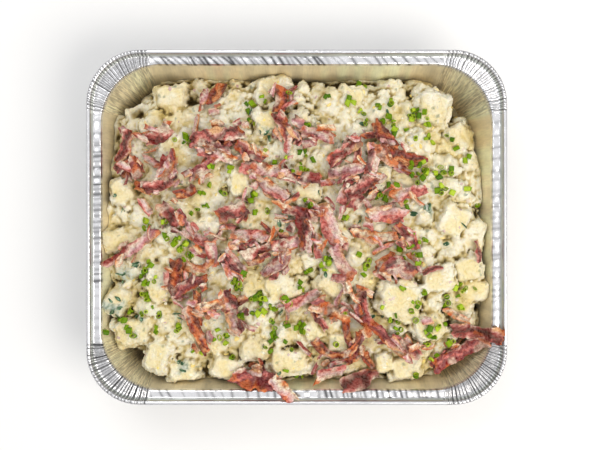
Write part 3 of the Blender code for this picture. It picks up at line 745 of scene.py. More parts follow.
def outer_side(tree):
    """1 on the outside of the wall and on the underside of the tray, 0 elsewhere."""
    place = tree.nodes["Place"].outputs
    flat = add_node(tree, "ShaderNodeVectorMath", {0: place["Object"], 1: (1, 1, 0)}, operation="MULTIPLY")
    outward = add_node(
        tree, "ShaderNodeVectorMath", {0: place["Normal"], 1: flat.outputs[0]}, operation="DOT_PRODUCT"
    )
    up = add_node(tree, "ShaderNodeSeparateXYZ", {"Vector": place["Normal"]}).outputs["Z"]
    height = add_node(tree, "ShaderNodeSeparateXYZ", {"Vector": place["Object"]}).outputs["Z"]
    sideways = worked(tree, "MULTIPLY", outward.outputs["Value"], OUTWARD_WEIGHT)
    facing = worked(tree, "SUBTRACT", sideways, up)
    below_shelf = ranged(tree, height, SHELF_Z - 2 * MM, SHELF_Z - 1 * MM, 1.0, 0.0)
    return worked(tree, "MULTIPLY", ranged(tree, facing, -0.2, 0.2, 0.0, 1.0), below_shelf)


def foil_material():
    """Rolled aluminium foil in the mesh's tones: mirror-like where the alpha is 1, dull where it is 0.

    The mesh's "grain" gives the place across and along the fine creases, and how strong their painted shade
    and highlight are.
    """
    made, tree, principled = shader("rolled_foil", FOIL_FINISH)
    paint = add_node(tree, "ShaderNodeAttribute", attribute_name="tint")
    grain = add_node(tree, "ShaderNodeAttribute", attribute_name="grain").outputs["Vector"]
    strength = add_node(tree, "ShaderNodeSeparateXYZ", {"Vector": grain}).outputs["Z"]
    streak = add_node(tree, "ShaderNodeTexNoise", {
        "Vector": grain, "Scale": 1.0, "Detail": 3.0, "Roughness": 0.55, "Distortion": 0.5,
    }).outputs["Fac"]
    cloudy = ranged(tree, noise(tree, 90, 4, 0.55), 0.3, 0.7, 0.86, 1.0)
    # The fine creases drawn as streaks of painted shade and highlight
    creased = ranged(tree, streak, 0.36, 0.62, *FINE_CREASE_SHADE_AND_HIGHLIGHT)
    plain = add_node(tree, "ShaderNodeMix", {0: strength, 2: 1.0, 3: creased})
    tone = worked(tree, "MULTIPLY", cloudy, plain.outputs[0])
    shade = add_node(tree, "ShaderNodeCombineColor", {"Red": tone, "Green": tone, "Blue": tone})
    outer = outer_side(tree)
    toned = blended(tree, 1.0, paint.outputs["Color"], shade.outputs[0], "MULTIPLY")
    # Outside the wall, the painted reflection and shade turn grey
    grey = add_node(tree, "ShaderNodeHueSaturation", {
        "Saturation": ranged(tree, outer, 0, 1, 1.0, OUTER_SATURATION), "Color": toned,
    })
    tree.links.new(grey.outputs[0], principled.inputs["Base Color"])
    bare = worked(tree, "MAXIMUM", paint.outputs["Alpha"], outer)
    tree.links.new(ranged(tree, bare, 0, 1, *FOIL_METAL), principled.inputs["Metallic"])
    tree.links.new(ranged(tree, bare, 0, 1, *FOIL_ROUGHNESS), principled.inputs["Roughness"])
    bumped(tree, principled, noise(tree, 70, 3, 0.5, 0.8), FOIL_BUMP, 0.5)
    return made


def add_piece(name, points, faces, tints, finish, slot, *nodes, crease=None, grain=None):
    """A mesh piece that carries its colours, rides with the part and stands for the given nodes."""
    mesh = bpy.data.meshes.new(name)
    mesh.from_pydata(np.asarray(points).tolist(), [], faces)
    mesh.shade_smooth()
    if crease is not None:
        mesh.set_sharp_from_angle(angle=math.radians(crease))
    layer = mesh.attributes.new("tint", "FLOAT_COLOR", "POINT")
    rgba = np.ones((len(points), 4))
    rgba[:, :tints.shape[1]] = tints
    layer.data.foreach_set("color", rgba.ravel())
    if grain is not None:
        mesh.attributes.new("grain", "FLOAT_VECTOR", "POINT").data.foreach_set("vector", grain.ravel())
    mesh.materials.append(finish)
    obj = bpy.data.objects.new(name, mesh)
    bpy.context.scene.collection.objects.link(obj)
    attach(obj, "root")
    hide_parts(*nodes)
    return obj


def ring_faces(rings, count, closed):
    """Faces between rings of count points, and from the last ring to the first one where it is closed."""
    faces = []
    for row in range(rings if closed else rings - 1):
        after = (row + 1) % rings
        for k in range(count):
            j = (k + 1) % count
            faces.append((row * count + k, row * count + j, after * count + j, after * count + k))
    return faces


def slab_faces(n, m):
    """Faces of a closed thin slab, whose lower and then upper side is a grid of n by m points."""
    index = np.arange(n * m).reshape(n, m)
    a, b = index[:-1, :-1].ravel(), index[1:, :-1].ravel()
    c, d = index[1:, 1:].ravel(), index[:-1, 1:].ravel()
    loop = np.concatenate([index[0, ::-1], index[1:, 0], index[-1, 1:], index[-2:0:-1, -1]])
    after = np.roll(loop, -1)
    return np.concatenate([
        np.column_stack([a, b, c, d]) + n * m,
        np.column_stack([a, d, c, b]),
        np.column_stack([loop, after, after + n * m, loop + n * m]),
    ])


def tray_stations():
    """Places round the tray: corner, share of the way round it (-1 on a straight), share of a straight."""
    rows = []
    for corner in range(4):
        rows += [(corner, k / CORNER_STEPS, 0.0) for k in range(CORNER_STEPS + 1)]
        steps = LONG_STEPS if corner % 2 == 0 else SHORT_STEPS
        rows += [(corner, -1.0, k / steps) for k in range(1, steps)]
    return np.array(rows)


def outline(stations, inset, radius):
    """Points of a rounded rectangle at the stations, and the way out there; corner stations lie on rays."""
    corner, share, along = stations.T
    corner = corner.astype(int)
    signs = np.array(((1, 1), (-1, 1), (-1, -1), (1, -1)))
    half = np.array((TRAY_LENGTH / 2, TRAY_WIDTH / 2)) - PLEAT_INSET
    hub, after = signs[corner] * half, signs[(corner + 1) % 4] * half
    turn = math.pi / 2 * (corner + np.where(share < 0, 1, share))
    way = np.column_stack([np.cos(turn), np.sin(turn)])
    edge, centre = PLEAT_INSET - inset, PLEAT_INSET - inset - radius
    most, least = np.abs(way).max(axis=1), np.abs(way).min(axis=1)
    dot = centre * (most + least)
    arc = dot + np.sqrt(np.maximum(dot**2 - 2 * centre**2 + radius**2, 0))
    out = np.where(edge * least / most > centre, arc, edge / most)
    end = np.minimum(along, 1 - along) * np.linalg.norm(after - hub, axis=1)
    bent = centre + np.sqrt(np.maximum(radius**2 - (end + centre) ** 2, 0))
    out = np.where(share >= 0, out, np.where(-end > centre, bent, edge))
    return hub + (after - hub) * along[:, None] + way * out[:, None], way


def fold_places(draw, count):
    """Where each corner's folds start and end, as shares of the corner."""
    places = []
    for _ in range(4):
        widths = draw.uniform(*FOLD_WIDTHS, count)
        places.append(np.concatenate([[0], np.cumsum(widths) / widths.sum()]))
    return places


def folded(corner, share, places, slant):
    """The fold that each station lies in, -1 on the straights, and the share of the way through it."""
    fold, part = np.full(len(corner), -1), np.zeros(len(corner))
    for number, starts in enumerate(places):
        here = (corner == number) & (share >= 0)
        at = np.clip(share[here] + slant[here], 0, 0.99999)
        found = np.searchsorted(starts, at, side="right") - 1
        part[here] = (at - starts[found]) / (starts[found + 1] - starts[found])
        fold[here] = found + number * (len(starts) - 1)
    return fold, part


def shelf_bars(draw):
    """The grey bars of painted shade across the shelf's straights: side, place along it, half width, depth
    and lean.
    """
    bars = []
    for side, first, last, spacing, depth, lean in SHELF_SHADE_BARS:
        length = (TRAY_LENGTH if side % 2 == 0 else TRAY_WIDTH) - 2 * PLEAT_INSET
        at = first * length
        while at < last * length:
            half = draw.uniform(0.7, 1.7) * MM
            dark = min(depth * draw.uniform(0.6, 1.6), 0.95)
            bars.append((side, at, half, dark, lean * MM * draw.uniform(0.6, 1.3)))
            at += spacing * MM * draw.uniform(0.6, 1.5)
    return bars


def bar_shade(bars, x, y, across):
    """How dark the bars' painted shade makes points at a share across the shelf."""
    dark = np.zeros(len(x))
    half_x, half_y = TRAY_LENGTH / 2 - PLEAT_INSET, TRAY_WIDTH / 2 - PLEAT_INSET
    sides = (
        (half_x - x, (np.abs(x) < half_x) & (y > 0)), (half_y - y, (np.abs(y) < half_y) & (x < 0)),
        (half_x + x, (np.abs(x) < half_x) & (y < 0)), (half_y + y, (np.abs(y) < half_y) & (x > 0)),
    )
    for side, at, half, depth, lean in bars:
        along, here = sides[side]
        away = (along[here] - at - lean * (across - 0.5)) / half
        dark[here] = np.maximum(dark[here], depth * np.exp(-(away**2)))
    return dark


def tray_profile():
    """The sheet's section from the base out to the rolled edge: inset, corner radius, z and zone."""
    foot, heel = wall_inset(BASE_FILLET), wall_corner(BASE_FILLET)
    rows = []
    for degrees in (90, 45, 0):
        turn = math.radians(degrees)
        aside = BASE_FILLET * (1 - math.cos(turn))
        rows.append((foot + aside, heel - aside, BASE_FILLET * (1 - math.sin(turn)), "foot"))
    for share in WALL_SHARES:
        rows.append((wall_inset(share * SHELF_Z), wall_corner(share * SHELF_Z), share * SHELF_Z, "wall"))
    span = SHELF_INNER_INSET - SHELF_OUTER_INSET
    edge_radius = RIM_CORNER_RADIUS - SHELF_OUTER_INSET
    for inset, drop in SHELF_ROWS:
        share = (SHELF_INNER_INSET - inset * MM) / span
        radius = OPENING_CORNER_RADIUS + (edge_radius - OPENING_CORNER_RADIUS) * share
        rows.append((inset * MM, radius, SHELF_Z - drop * MM, "shelf"))
    for inset, z in STEP_ROWS:
        rows.append((inset * MM, RIM_CORNER_RADIUS - inset * MM, z * MM, "step"))
    roll = CURL_RADIUS - SHEET
    for degrees in ROLL_DEGREES:
        turn = math.radians(degrees)
        inset = CURL_RADIUS - roll * math.cos(turn)
        z = TRAY_HEIGHT - CURL_RADIUS + roll * math.sin(turn)
        rows.append((inset, RIM_CORNER_RADIUS - inset, z, "roll"))
    return rows


class TrayFolds:
    """The stations round the tray, the folds at its corners and the unevenness of each."""

    def __init__(self, draw):
        self.stations = tray_stations()
        self.count = len(self.stations)
        self.corner, self.share = self.stations[:, 0].astype(int), self.stations[:, 1]
        self.at_corner = self.share >= 0
        self.fade = step(0, FOLD_FADE, self.share) * step(0, FOLD_FADE, 1 - self.share) * self.at_corner
        self.pleats, self.wrinkles = fold_places(draw, PLEATS), fold_places(draw, WRINKLES)
        self.heights = np.append(draw.uniform(*FOLD_HEIGHTS, 4 * PLEATS), 0.0)
        self.lights = np.append(draw.uniform(*FOLD_LIGHTS, 4 * PLEATS), 1.0)
        self.darks = np.append(draw.uniform(*FOLD_SHADE_TONES, 4 * PLEATS), 1.0)
        self.creases = np.append(draw.uniform(*CREASE_DEPTHS, 4 * WRINKLES), 0.0)
        self.bars = shelf_bars(draw)
        self.crimp, self.swell, self.drift = (waver(draw, self.count, sigma) for sigma in (2, 9, 24))
        self.jitter = draw.uniform(0.4, 1.0, self.count)
        self.shaded_to = np.array(SHADED_SHARES)[self.corner]
        least, more = WALL_LEAN
        lean = np.where(self.corner == 1, -(least + more * self.share**2), 0.0)
        lean = np.where(self.corner == 0, least + more * (1 - self.share) ** 2, lean)
        self.lean = lean * self.at_corner
        line = outline(self.stations, SHELF_INNER_INSET, OPENING_CORNER_RADIUS)[0]
        self.around = np.cumsum(np.linalg.norm(line - np.roll(line, 1, axis=0), axis=1))
        waves = np.sin(2 * math.pi * self.around / RIB_PITCH + 0.8 * self.swell)
        self.ribs = waves * (self.share < 0)

    def slanted(self, slant):
        """With the folds at a slant: each station's fold, share of the way through, height and crease."""
        fold, part = folded(self.corner, self.share, self.pleats, slant)
        wrinkle, way = folded(self.corner, self.share, self.wrinkles, slant)
        rise = np.where(part < FOLD_TOP, part / FOLD_TOP, (1 - part) / (1 - FOLD_TOP)) - 0.5
        hair = np.exp(-((way - 0.2) / 0.15) ** 2) - 0.7 * np.exp(-((way - 0.5) / 0.15) ** 2)
        return fold, part, rise * self.heights[fold] * self.fade, self.creases[wrinkle] * self.fade * hair


def shelf_look(tray, line, across, fold, part, rise):
    """The shelf's lift and tone: pleats with folds in painted shade at the corners, grey bars of painted
    shade on the straights.
    """
    lift = PLEAT_HEIGHT * rise + CRIMP_HEIGHT * tray.crimp * (1 - tray.fade)
    # Painted shade over the shaded side of each fold, the fold's lit tone elsewhere
    shadow = step(0.0, 0.12, part) * (1 - step(tray.shaded_to - 0.1, tray.shaded_to + 0.05, part))
    light, dark = tray.lights[fold], tray.darks[fold]
    bars = bar_shade(tray.bars, line[:, 0], line[:, 1], across)
    return lift, (light - (light - dark) * shadow * tray.fade) * (1 - bars)


def roll_look(tray, z, part):
    """The rolled edge's knurls and tone: painted shade in the knurls and along its side."""
    knurl = (np.abs(part - 0.3) < 0.25) * tray.fade
    tone = 1 - 0.92 * knurl * tray.jitter
    on_side = abs(z - TRAY_HEIGHT + CURL_RADIUS) < 0.9 * MM
    return knurl, tone * (ROLL_SIDE_SHADE if on_side else 1.0)


def wall_look(tray, depth, rise, crease):
    """How far the wall's ribs and pleats stand in, and its colour and tone: a painted reflection of the
    salad, in painted shade towards the foot, with painted shade and highlight over its creases and ribs.
    """
    bulge = math.sin(math.pi * min(max(1 - depth, 0.0), 1.0)) ** 0.5
    inward = -WALL_PLEAT * rise * step(0, 0.7, 1 - depth) + RIB_DEPTH * bulge * (tray.ribs + tray.swell)
    # The wall's painted reflection of the salad turns to painted shade towards the foot
    foot = np.full(tray.count, step(0.4, 1.0, depth))
    colour = mix(np.broadcast_to(linear(WALL_REFLECTION), (tray.count, 3)), linear(WALL_FOOT_SHADE), foot)
    # Painted shade and highlight along the creases and over the ribs and swells, and a tone that drifts at
    # random
    tone = 1 - CREASE_SHADE_AND_HIGHLIGHT * crease + 0.09 * tray.drift + 0.06 * tray.swell + 0.06 * tray.ribs * bulge
    return inward, colour, tone


def tray_row(tray, inset, radius, z, zone):
    """One line of the sheet's section, all round the tray: its points, its colours and its grain."""
    count = tray.count
    depth = (SHELF_Z - z) / SHELF_Z
    across = (SHELF_INNER_INSET - inset) / (SHELF_INNER_INSET - SHELF_OUTER_INSET)
    line, way = outline(tray.stations, inset, radius)
    on_wall = zone in ("wall", "foot")
    slant = tray.lean * depth if on_wall else np.full(count, SHELF_SLANT * across)
    fold, part, rise, crease = tray.slanted(slant)
    inward, lift = np.zeros(count), np.zeros(count)
    colour = np.broadcast_to(linear(STEP_SHADE if zone == "step" else FOIL), (count, 3))
    if zone == "shelf":
        lift, tone = shelf_look(tray, line, across, fold, part, rise)
    elif zone == "step":
        # On the step at the corners: a painted highlight on the lit side of each fold, painted shade on the
        # shaded side
        tone = np.where(tray.at_corner, MOST_TONE - 0.85 * (part < tray.shaded_to), 0.9)
    elif zone == "roll":
        knurl, tone = roll_look(tray, z, part)
        lift, inward = -KNURL * knurl * tray.jitter, KNURL * knurl
    else:
        inward, colour, tone = wall_look(tray, depth, rise, crease)
        inward = np.minimum(inward - WALL_OUTWARD, 0) if zone == "wall" else inward * 0
    shine = np.where(tray.at_corner, np.clip(tone, 0, 1), 1.0) * (STEP_SHINE if zone == "step" else 1.0)
    shine = shine * (not on_wall)
    at_corner, on_straight = (0.75, 0.16) if on_wall else (0.35, 0.0)
    amount = tray.fade * at_corner + (1 - tray.fade) * on_straight
    down = GRAIN_ALONG * (SHELF_Z - z) + (0 if on_wall else 12 + inset / MM)
    return (
        np.column_stack([line - way * inward[:, None], z + lift]),
        np.column_stack([colour * np.clip(tone, 0, MOST_TONE)[:, None], shine]),
        np.column_stack([GRAIN_ACROSS * tray.around + 9 * tray.lean * depth, np.full(count, down), amount]),
    )


def build_tray(draw, finish):
    """The foil tray as one thin sheet: base, wall, pleated shelf and rolled edge."""
    tray = TrayFolds(draw)
    rows = [tray_row(tray, *line) for line in tray_profile()]
    middle = len(rows) * tray.count
    faces = ring_faces(len(rows), tray.count, closed=False)
    faces += [(middle, (k + 1) % tray.count, k) for k in range(tray.count)]
    rows.append((np.zeros((1, 3)), np.array([[*linear(WALL_FOOT_SHADE), 0.0]]), np.zeros((1, 3))))
    points, tints, grain = (np.concatenate(parts) for parts in zip(*rows))
    tints = np.clip(tints, 0, 1)
    sheet = add_piece("foil_tray_sheet", points, faces, tints, finish, "foil", "foil_tray", grain=grain)
    thick = sheet.modifiers.new("sheet", "SOLIDIFY")
    thick.thickness = SHEET
    thick.offset = -1.0


def cast_down(node, grid):
    """Heights of a node's top over a map's grid; below 0 where a plumb line misses it."""
    corners = [vertex.co for vertex in node.data.vertices]
    tree = BVHTree.FromPolygons(corners, [tuple(face.vertices) for face in node.data.polygons])
    down = Vector((0, 0, -1))
    found = np.full(grid.z.shape, -1.0)
    for i, x in enumerate(grid.x):
        for j, y in enumerate(grid.y):
            hit = tree.ray_cast(Vector((x, y, 2 * TRAY_HEIGHT)), down)[0]
            if hit is not None:
                found[i, j] = hit.z
    return found


def random_place(draw, margin):
    """A random point of the plan, a margin inside the tray's outer sizes."""
    reach_x, reach_y = TRAY_LENGTH / 2 - margin, TRAY_WIDTH / 2 - margin
    return draw.uniform(-reach_x, reach_x), draw.uniform(-reach_y, reach_y)


def add_lumps(grid, draw, base, count, sizes, rise, keep):
    """Rounded lumps of the given sizes on a map, each on the base's height there."""
    for _ in range(count):
        x, y = random_place(draw, LUMP_MARGIN)
        a = draw.uniform(*sizes) * (1 + 0.5 * draw.random() ** 3)
        b = a * draw.uniform(0.6, 1.0)
        turn = draw.uniform(0, math.pi)
        height = a * rise * draw.uniform(0.6, 1.3)
        i, j, rows, cols = grid.window(x, y, a)
        if draw.random() > keep[i, j]:
            continue
        along, across = grid.aligned(x, y, turn, rows, cols)
        dome = np.sqrt(np.maximum(1 - (along / a) ** 2 - (across / b) ** 2, 0))
        top = base[i, j] + height * (1.45 * dome - 0.45)
        under = grid.z[rows, cols]
        joined = np.maximum(soft_max(under, top, LUMP_BLEND), under)
        grid.z[rows, cols] = np.where(dome > 0, joined, under)


def add_block(grid, base, wobble, x, y, a, b, turn, rise, tilt, power, sides):
    """A cut potato piece with a flat tilted top, half sunk in the heap."""
    i, j, rows, cols = grid.window(x, y, 1.5 * max(a, b))
    along, across = grid.aligned(x, y, turn, rows, cols)
    edge = (np.abs(along / a) ** power + np.abs(across / b) ** power) ** (1 / power)
    edge = edge + 0.07 * wobble[rows, cols]
    top = base[i, j] + rise + tilt[0] * along + tilt[1] * across - sides * step(0.88, 1.12, edge)
    under = grid.z[rows, cols]
    joined = np.maximum(soft_max(under, top, BLOCK_BLEND), under)
    grid.z[rows, cols] = np.where(edge < 1.3, joined, under)


def add_blocks(grid, draw, base, keep):
    """Potato pieces: many smaller ones anywhere, then the ones that the photograph shows."""
    wobble = grid.noise(draw, 1.8 * MM)
    for _ in range(BLOCKS):
        x, y = random_place(draw, BLOCK_MARGIN)
        halves = draw.uniform(*BLOCK_HALVES, 2)
        turn, rise = draw.uniform(0, math.pi), draw.uniform(*BLOCK_RISE)
        tilt = draw.uniform(-BLOCK_TILT, BLOCK_TILT, 2)
        i, j = (int(v) for v in grid.place(x, y))
        if draw.random() < keep[i, j]:
            add_block(grid, base, wobble, x, y, *halves, turn, rise, tilt, *BLOCK_SIDES)
    for photo_x, photo_y, length, width, turn in SHOWN_CHUNKS:
        x, y = tray_point(photo_x, photo_y)
        rise, tilt = draw.uniform(*CHUNK_RISE), draw.uniform(-CHUNK_TILT, CHUNK_TILT, 2)
        halves = (0.5 * length * MM, 0.5 * width * MM)
        add_block(grid, base, wobble, x, y, *halves, math.radians(turn), rise, tilt, *CHUNK_SIDES)


def chunk_mask(grid):
    """1 on the faces of the potato pieces that stand out, 0 elsewhere."""
    mask = np.zeros(grid.z.shape)
    for photo_x, photo_y, length, width, turn in SHOWN_CHUNKS:
        along, across = grid.aligned(*tray_point(photo_x, photo_y), math.radians(turn))
        u, v = along / (0.5 * length * MM), across / (0.5 * width * MM)
        mask = np.maximum(mask, 1 - step(0.72, 1.02, (u**4 + v**4) ** 0.25))
    return mask


def shape_heap(draw, grid, node):
    """The heap's surface: the solid's own heights, with curds, gaps and a ragged edge."""
    cast = cast_down(node, grid)
    base = np.where(cast > 0, cast, heap_level(grid.grid_x, grid.grid_y))
    faces = chunk_mask(grid)
    rough = 1 - 0.75 * faces
    fall = corner_fall(grid)
    soft = grid.blurred(base, 1.2 * MM) * (1 - faces) + grid.blurred(base, 0.6 * MM) * faces
    soft = np.maximum(soft - fall * (1 + 0.1 * grid.noise(draw, 5 * MM)), 2 * SALAD_FLOOR)
    grid.z = soft.copy()
    add_blocks(grid, draw, soft, rough * (fall < LOW_CORNER))
    for count, sizes, rise, smooth in LUMPS:
        add_lumps(grid, draw, grid.blurred(grid.z, smooth), count, sizes, rise, rough)
    for height, size in (COARSE_CURD, FINE_CURD):
        grid.z += rough * height * grid.noise(draw, size)
    grid.z += CHUNK_GRAIN[0] * grid.noise(draw, CHUNK_GRAIN[1]) * faces
    for photo_x, photo_y, reach, depth in DARK_GAPS:
        x, y = tray_point(photo_x, photo_y)
        away = np.hypot(grid.grid_x - x, 1.3 * (grid.grid_y - y)) / (reach * MM)
        grid.z -= depth * MM * np.exp(-(away**3))
    crack = np.abs(grid.noise(draw, 5.5 * MM)) + 0.12 * grid.noise(draw, 1.5 * MM)
    grid.z -= CRACK_DEPTH * (1 - step(0.0, CRACK_WIDTH, crack)) * rough
    room = wall_room(grid.grid_x, grid.grid_y, grid.z)[0]
    ragged = grid.noise(draw, 7 * MM)
    round_off = np.maximum(EDGE_ROUND[0] + EDGE_ROUND[1] * ragged, LEAST_ROUND)
    edge = np.clip(1 - room / round_off, 0, 1)
    grid.z -= edge**2 * (EDGE_DROP[0] + EDGE_DROP[1] * ragged)
    grid.z = np.maximum(grid.z, 2 * SALAD_FLOOR + 0.4 * MM * np.abs(ragged))
    grid.z = blur(grid.z, 0.4)
    grid.z = np.where(grid.z > HEAP_TOP, HEAP_TOP + 0.3 * (grid.z - HEAP_TOP), grid.z)
    return faces


def corner_fall(grid):
    """How much lower the heap lies towards each corner of the tray."""
    inset, radius = SHELF_INNER_INSET, OPENING_CORNER_RADIUS
    room = outline_room(grid.grid_x, grid.grid_y, inset, radius)[0]
    out_x = np.maximum(np.abs(grid.grid_x) - (TRAY_LENGTH / 2 - inset - radius), 0)
    out_y = np.maximum(np.abs(grid.grid_y) - (TRAY_WIDTH / 2 - inset - radius), 0)
    cornered = step(0.1, 0.9, 2 * np.minimum(out_x, out_y) / np.maximum(np.hypot(out_x, out_y), 1e-9))
    fall = np.zeros(grid.z.shape)
    for (sign_x, sign_y), (depth, full, end) in zip(((1, 1), (-1, 1), (-1, -1), (1, -1)), CORNER_FALLS):
        here = (grid.grid_x * sign_x > 0) & (grid.grid_y * sign_y > 0)
        fall = np.where(here, depth * cornered * (1 - step(full, end, room)), fall)
    return fall


def near_bacon(grid):
    """1 beside the bacon, falling to 0 a few millimetres away."""
    mask = np.zeros(grid.z.shape)
    for photo_x, photo_y, heading, length, _, _, _ in BACON_STRIPS:
        x, y = tray_point(photo_x, photo_y)
        along = np.linspace(-0.5, 0.5, 40) * length * MM
        turn = math.radians(heading)
        i, j = grid.place(x + along * math.cos(turn), y + along * math.sin(turn))
        mask[np.rint(i).astype(int), np.rint(j).astype(int)] = 1
    spread = grid.blurred(mask, 5 * MM)
    return np.clip(spread / np.percentile(spread, 97), 0, 1)


def tint_heap(draw, grid, faces):
    """Colours of the heap: cream, potato faces, yellow patches and dressed herbs, with painted shade in its
    hollows, gaps and low parts and painted shadow beside the bacon.
    """

    def patches(size, low, high):
        return step(low, high, grid.noise(draw, size * MM))

    beside = near_bacon(grid)
    near = grid.blurred(grid.z, 2.2 * MM) - grid.z
    wide = grid.blurred(grid.z, 6.5 * MM) - grid.z
    tints = np.broadcast_to(linear(CREAM), (*grid.z.shape, 3))
    tints = mix(tints, linear(CREAM_SHADE), 0.75 * patches(4.5, -0.4, 1.5))
    tints = mix(tints, linear(YELLOW), 0.5 * patches(6, 0.5, 1.9) * (1 - faces))
    tints = mix(tints, linear(POTATO), 0.6 * faces * patches(3, -1.2, 0.7))
    tints = mix(tints, linear(BLUSH), 0.35 * beside * patches(2.2, -0.6, 1.6))
    # Painted shadow between and under the bacon strips
    tints = mix(tints, linear(CREVICE_SHADE), 0.35 * beside * patches(1.8, 0.4, 1.7))
    for photo_x, photo_y, reach in HERB_TINTS:
        x, y = tray_point(photo_x, photo_y)
        away = np.hypot(grid.grid_x - x, grid.grid_y - y) / (1.3 * reach * PIXEL_AT_RIM)
        patch = np.exp(-(away**4)) * patches(2.5, -1.0, 0.4)
        tints = mix(tints, linear(HERB_PALE), 0.85 * patch)
        vein = 1 - step(0.05, 0.5, np.abs(grid.noise(draw, 1.5 * MM)))
        tints = mix(tints, linear(HERB_GREEN), 0.8 * patch * vein)
    tints = mix(tints, linear(HERB_GREEN), 0.55 * patches(1.0, 1.9, 2.6))
    # Painted shade in the hollows: warm in shallow ones, darker in crevices, darkest in deep pits
    tints = mix(tints, linear(WARM_SHADE), 0.7 * step(0.1 * MM, 1.0 * MM, near))
    tints = mix(tints, linear(CREVICE_SHADE), 0.6 * step(0.8 * MM, 2.3 * MM, near))
    tints = mix(tints, linear(WARM_SHADE), 0.35 * step(1.0 * MM, 3.5 * MM, wide))
    tints = mix(tints, linear(PIT_SHADE), 0.9 * step(2.0 * MM, 5.0 * MM, wide) * step(0.3 * MM, 1.8 * MM, near))
    # Painted shade on the heap's low parts, in the colour of the wall's shaded foot
    return mix(tints, linear(WALL_FOOT_SHADE), 0.9 * (1 - step(5 * MM, 11 * MM, grid.z)))


def skirt_below(edge):
    """Points under the heap's edge: down its own stretch of the wall, then in to the flat base."""
    rings = []
    for level, inset in ((BASE_FILLET, SALAD_CLEAR), (SALAD_FLOOR, SALAD_CLEAR + BASE_FILLET)):
        heights = np.full(len(edge), level)
        room, out_x, out_y = wall_room(edge[:, 0], edge[:, 1], heights)
        inward = inset - room
        rings.append(np.column_stack([edge[:, 0] - out_x * inward, edge[:, 1] - out_y * inward, heights]))
    return rings


def build_heap(draw, grid, finish):
    """The heap as a closed mesh: its surface inside the wall, a skirt down the wall and a flat base."""
    faces = shape_heap(draw, grid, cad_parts["potato_salad"])
    tints = tint_heap(draw, grid, faces)
    x, y, z = grid.grid_x, grid.grid_y, grid.z
    room, way_x, way_y = wall_room(x, y, z)
    short = np.maximum(SALAD_CLEAR - room, 0)
    inside = short == 0
    x, y = x - way_x * short, y - way_y * short
    quads = inside[:-1, :-1] | inside[1:, :-1] | inside[1:, 1:] | inside[:-1, 1:]
    index = np.arange(z.size).reshape(z.shape)
    i, j = np.nonzero(quads)
    cells = np.column_stack([index[i, j], index[i + 1, j], index[i + 1, j + 1], index[i, j + 1]])
    used, compact = np.unique(cells, return_inverse=True)
    cells = compact.reshape(cells.shape)
    top = np.column_stack([x.ravel(), y.ravel(), z.ravel()])[used]
    colours = tints.reshape(-1, 3)[used]
    ends = np.concatenate([cells[:, [k, (k + 1) % 4]] for k in range(4)]).tolist()
    paired = set(map(tuple, ends))
    rim = [(a, b) for a, b in ends if (b, a) not in paired]
    ring = sorted({a for a, _ in rim})
    number = {vert: k for k, vert in enumerate(ring)}
    points = np.concatenate([top, *skirt_below(top[ring]), [[0, 0, SALAD_FLOOR]]])
    first, second = len(top), len(top) + len(ring)
    middle = len(points) - 1
    skirt = []
    for a, b in rim:
        ka, kb = number[a], number[b]
        skirt.append((b, a, first + ka, first + kb))
        skirt.append((first + kb, first + ka, second + ka, second + kb))
        skirt.append((second + kb, second + ka, middle))
    under = np.broadcast_to(linear(CREAM_SHADE), (len(points) - len(top), 3))
    colours = np.concatenate([colours, under])
    add_piece("salad_heap", points, cells.tolist() + skirt, colours, finish, "salad", "potato_salad")


def wall_height(x, y):
    """How high the foil wall stands over points of the plan, and beyond it the shelf's height."""
    height = np.zeros(x.shape)
    for level in np.linspace(0, SHELF_Z, WALL_LEVELS):
        height = np.where(wall_room(x, y, level)[0] < WALL_CLEAR, level, height)
    return height


def ground_map(heap):
    """A finer map of what the toppings lie on: the heap and the tray's shelf and rolled edge."""
    ground = Map(GROUND_CELL)
    salad = heap.sample(ground.grid_x, ground.grid_y)
    inset = outline_room(ground.grid_x, ground.grid_y, 0.0, RIM_CORNER_RADIUS)[0]
    wall = wall_height(ground.grid_x, ground.grid_y)
    wall = np.where(wall >= SHELF_Z, SHELF_Z + PLEAT_HEIGHT / 2, wall)
    roll = TRAY_HEIGHT - 0.35 * np.maximum(np.abs(inset - CURL_RADIUS) - 0.5 * MM, 0)
    ground.z = np.maximum(salad, np.where(inset < SHELF_OUTER_INSET, roll, wall))
    return ground


def patchy(draw, n, m, sigma):
    """Smooth noise over n by m places, as uneven at the sides as in the middle."""
    margin = 6
    return cloud(draw, (n + 2 * margin, m + 2 * margin), sigma)[margin:-margin, margin:-margin]


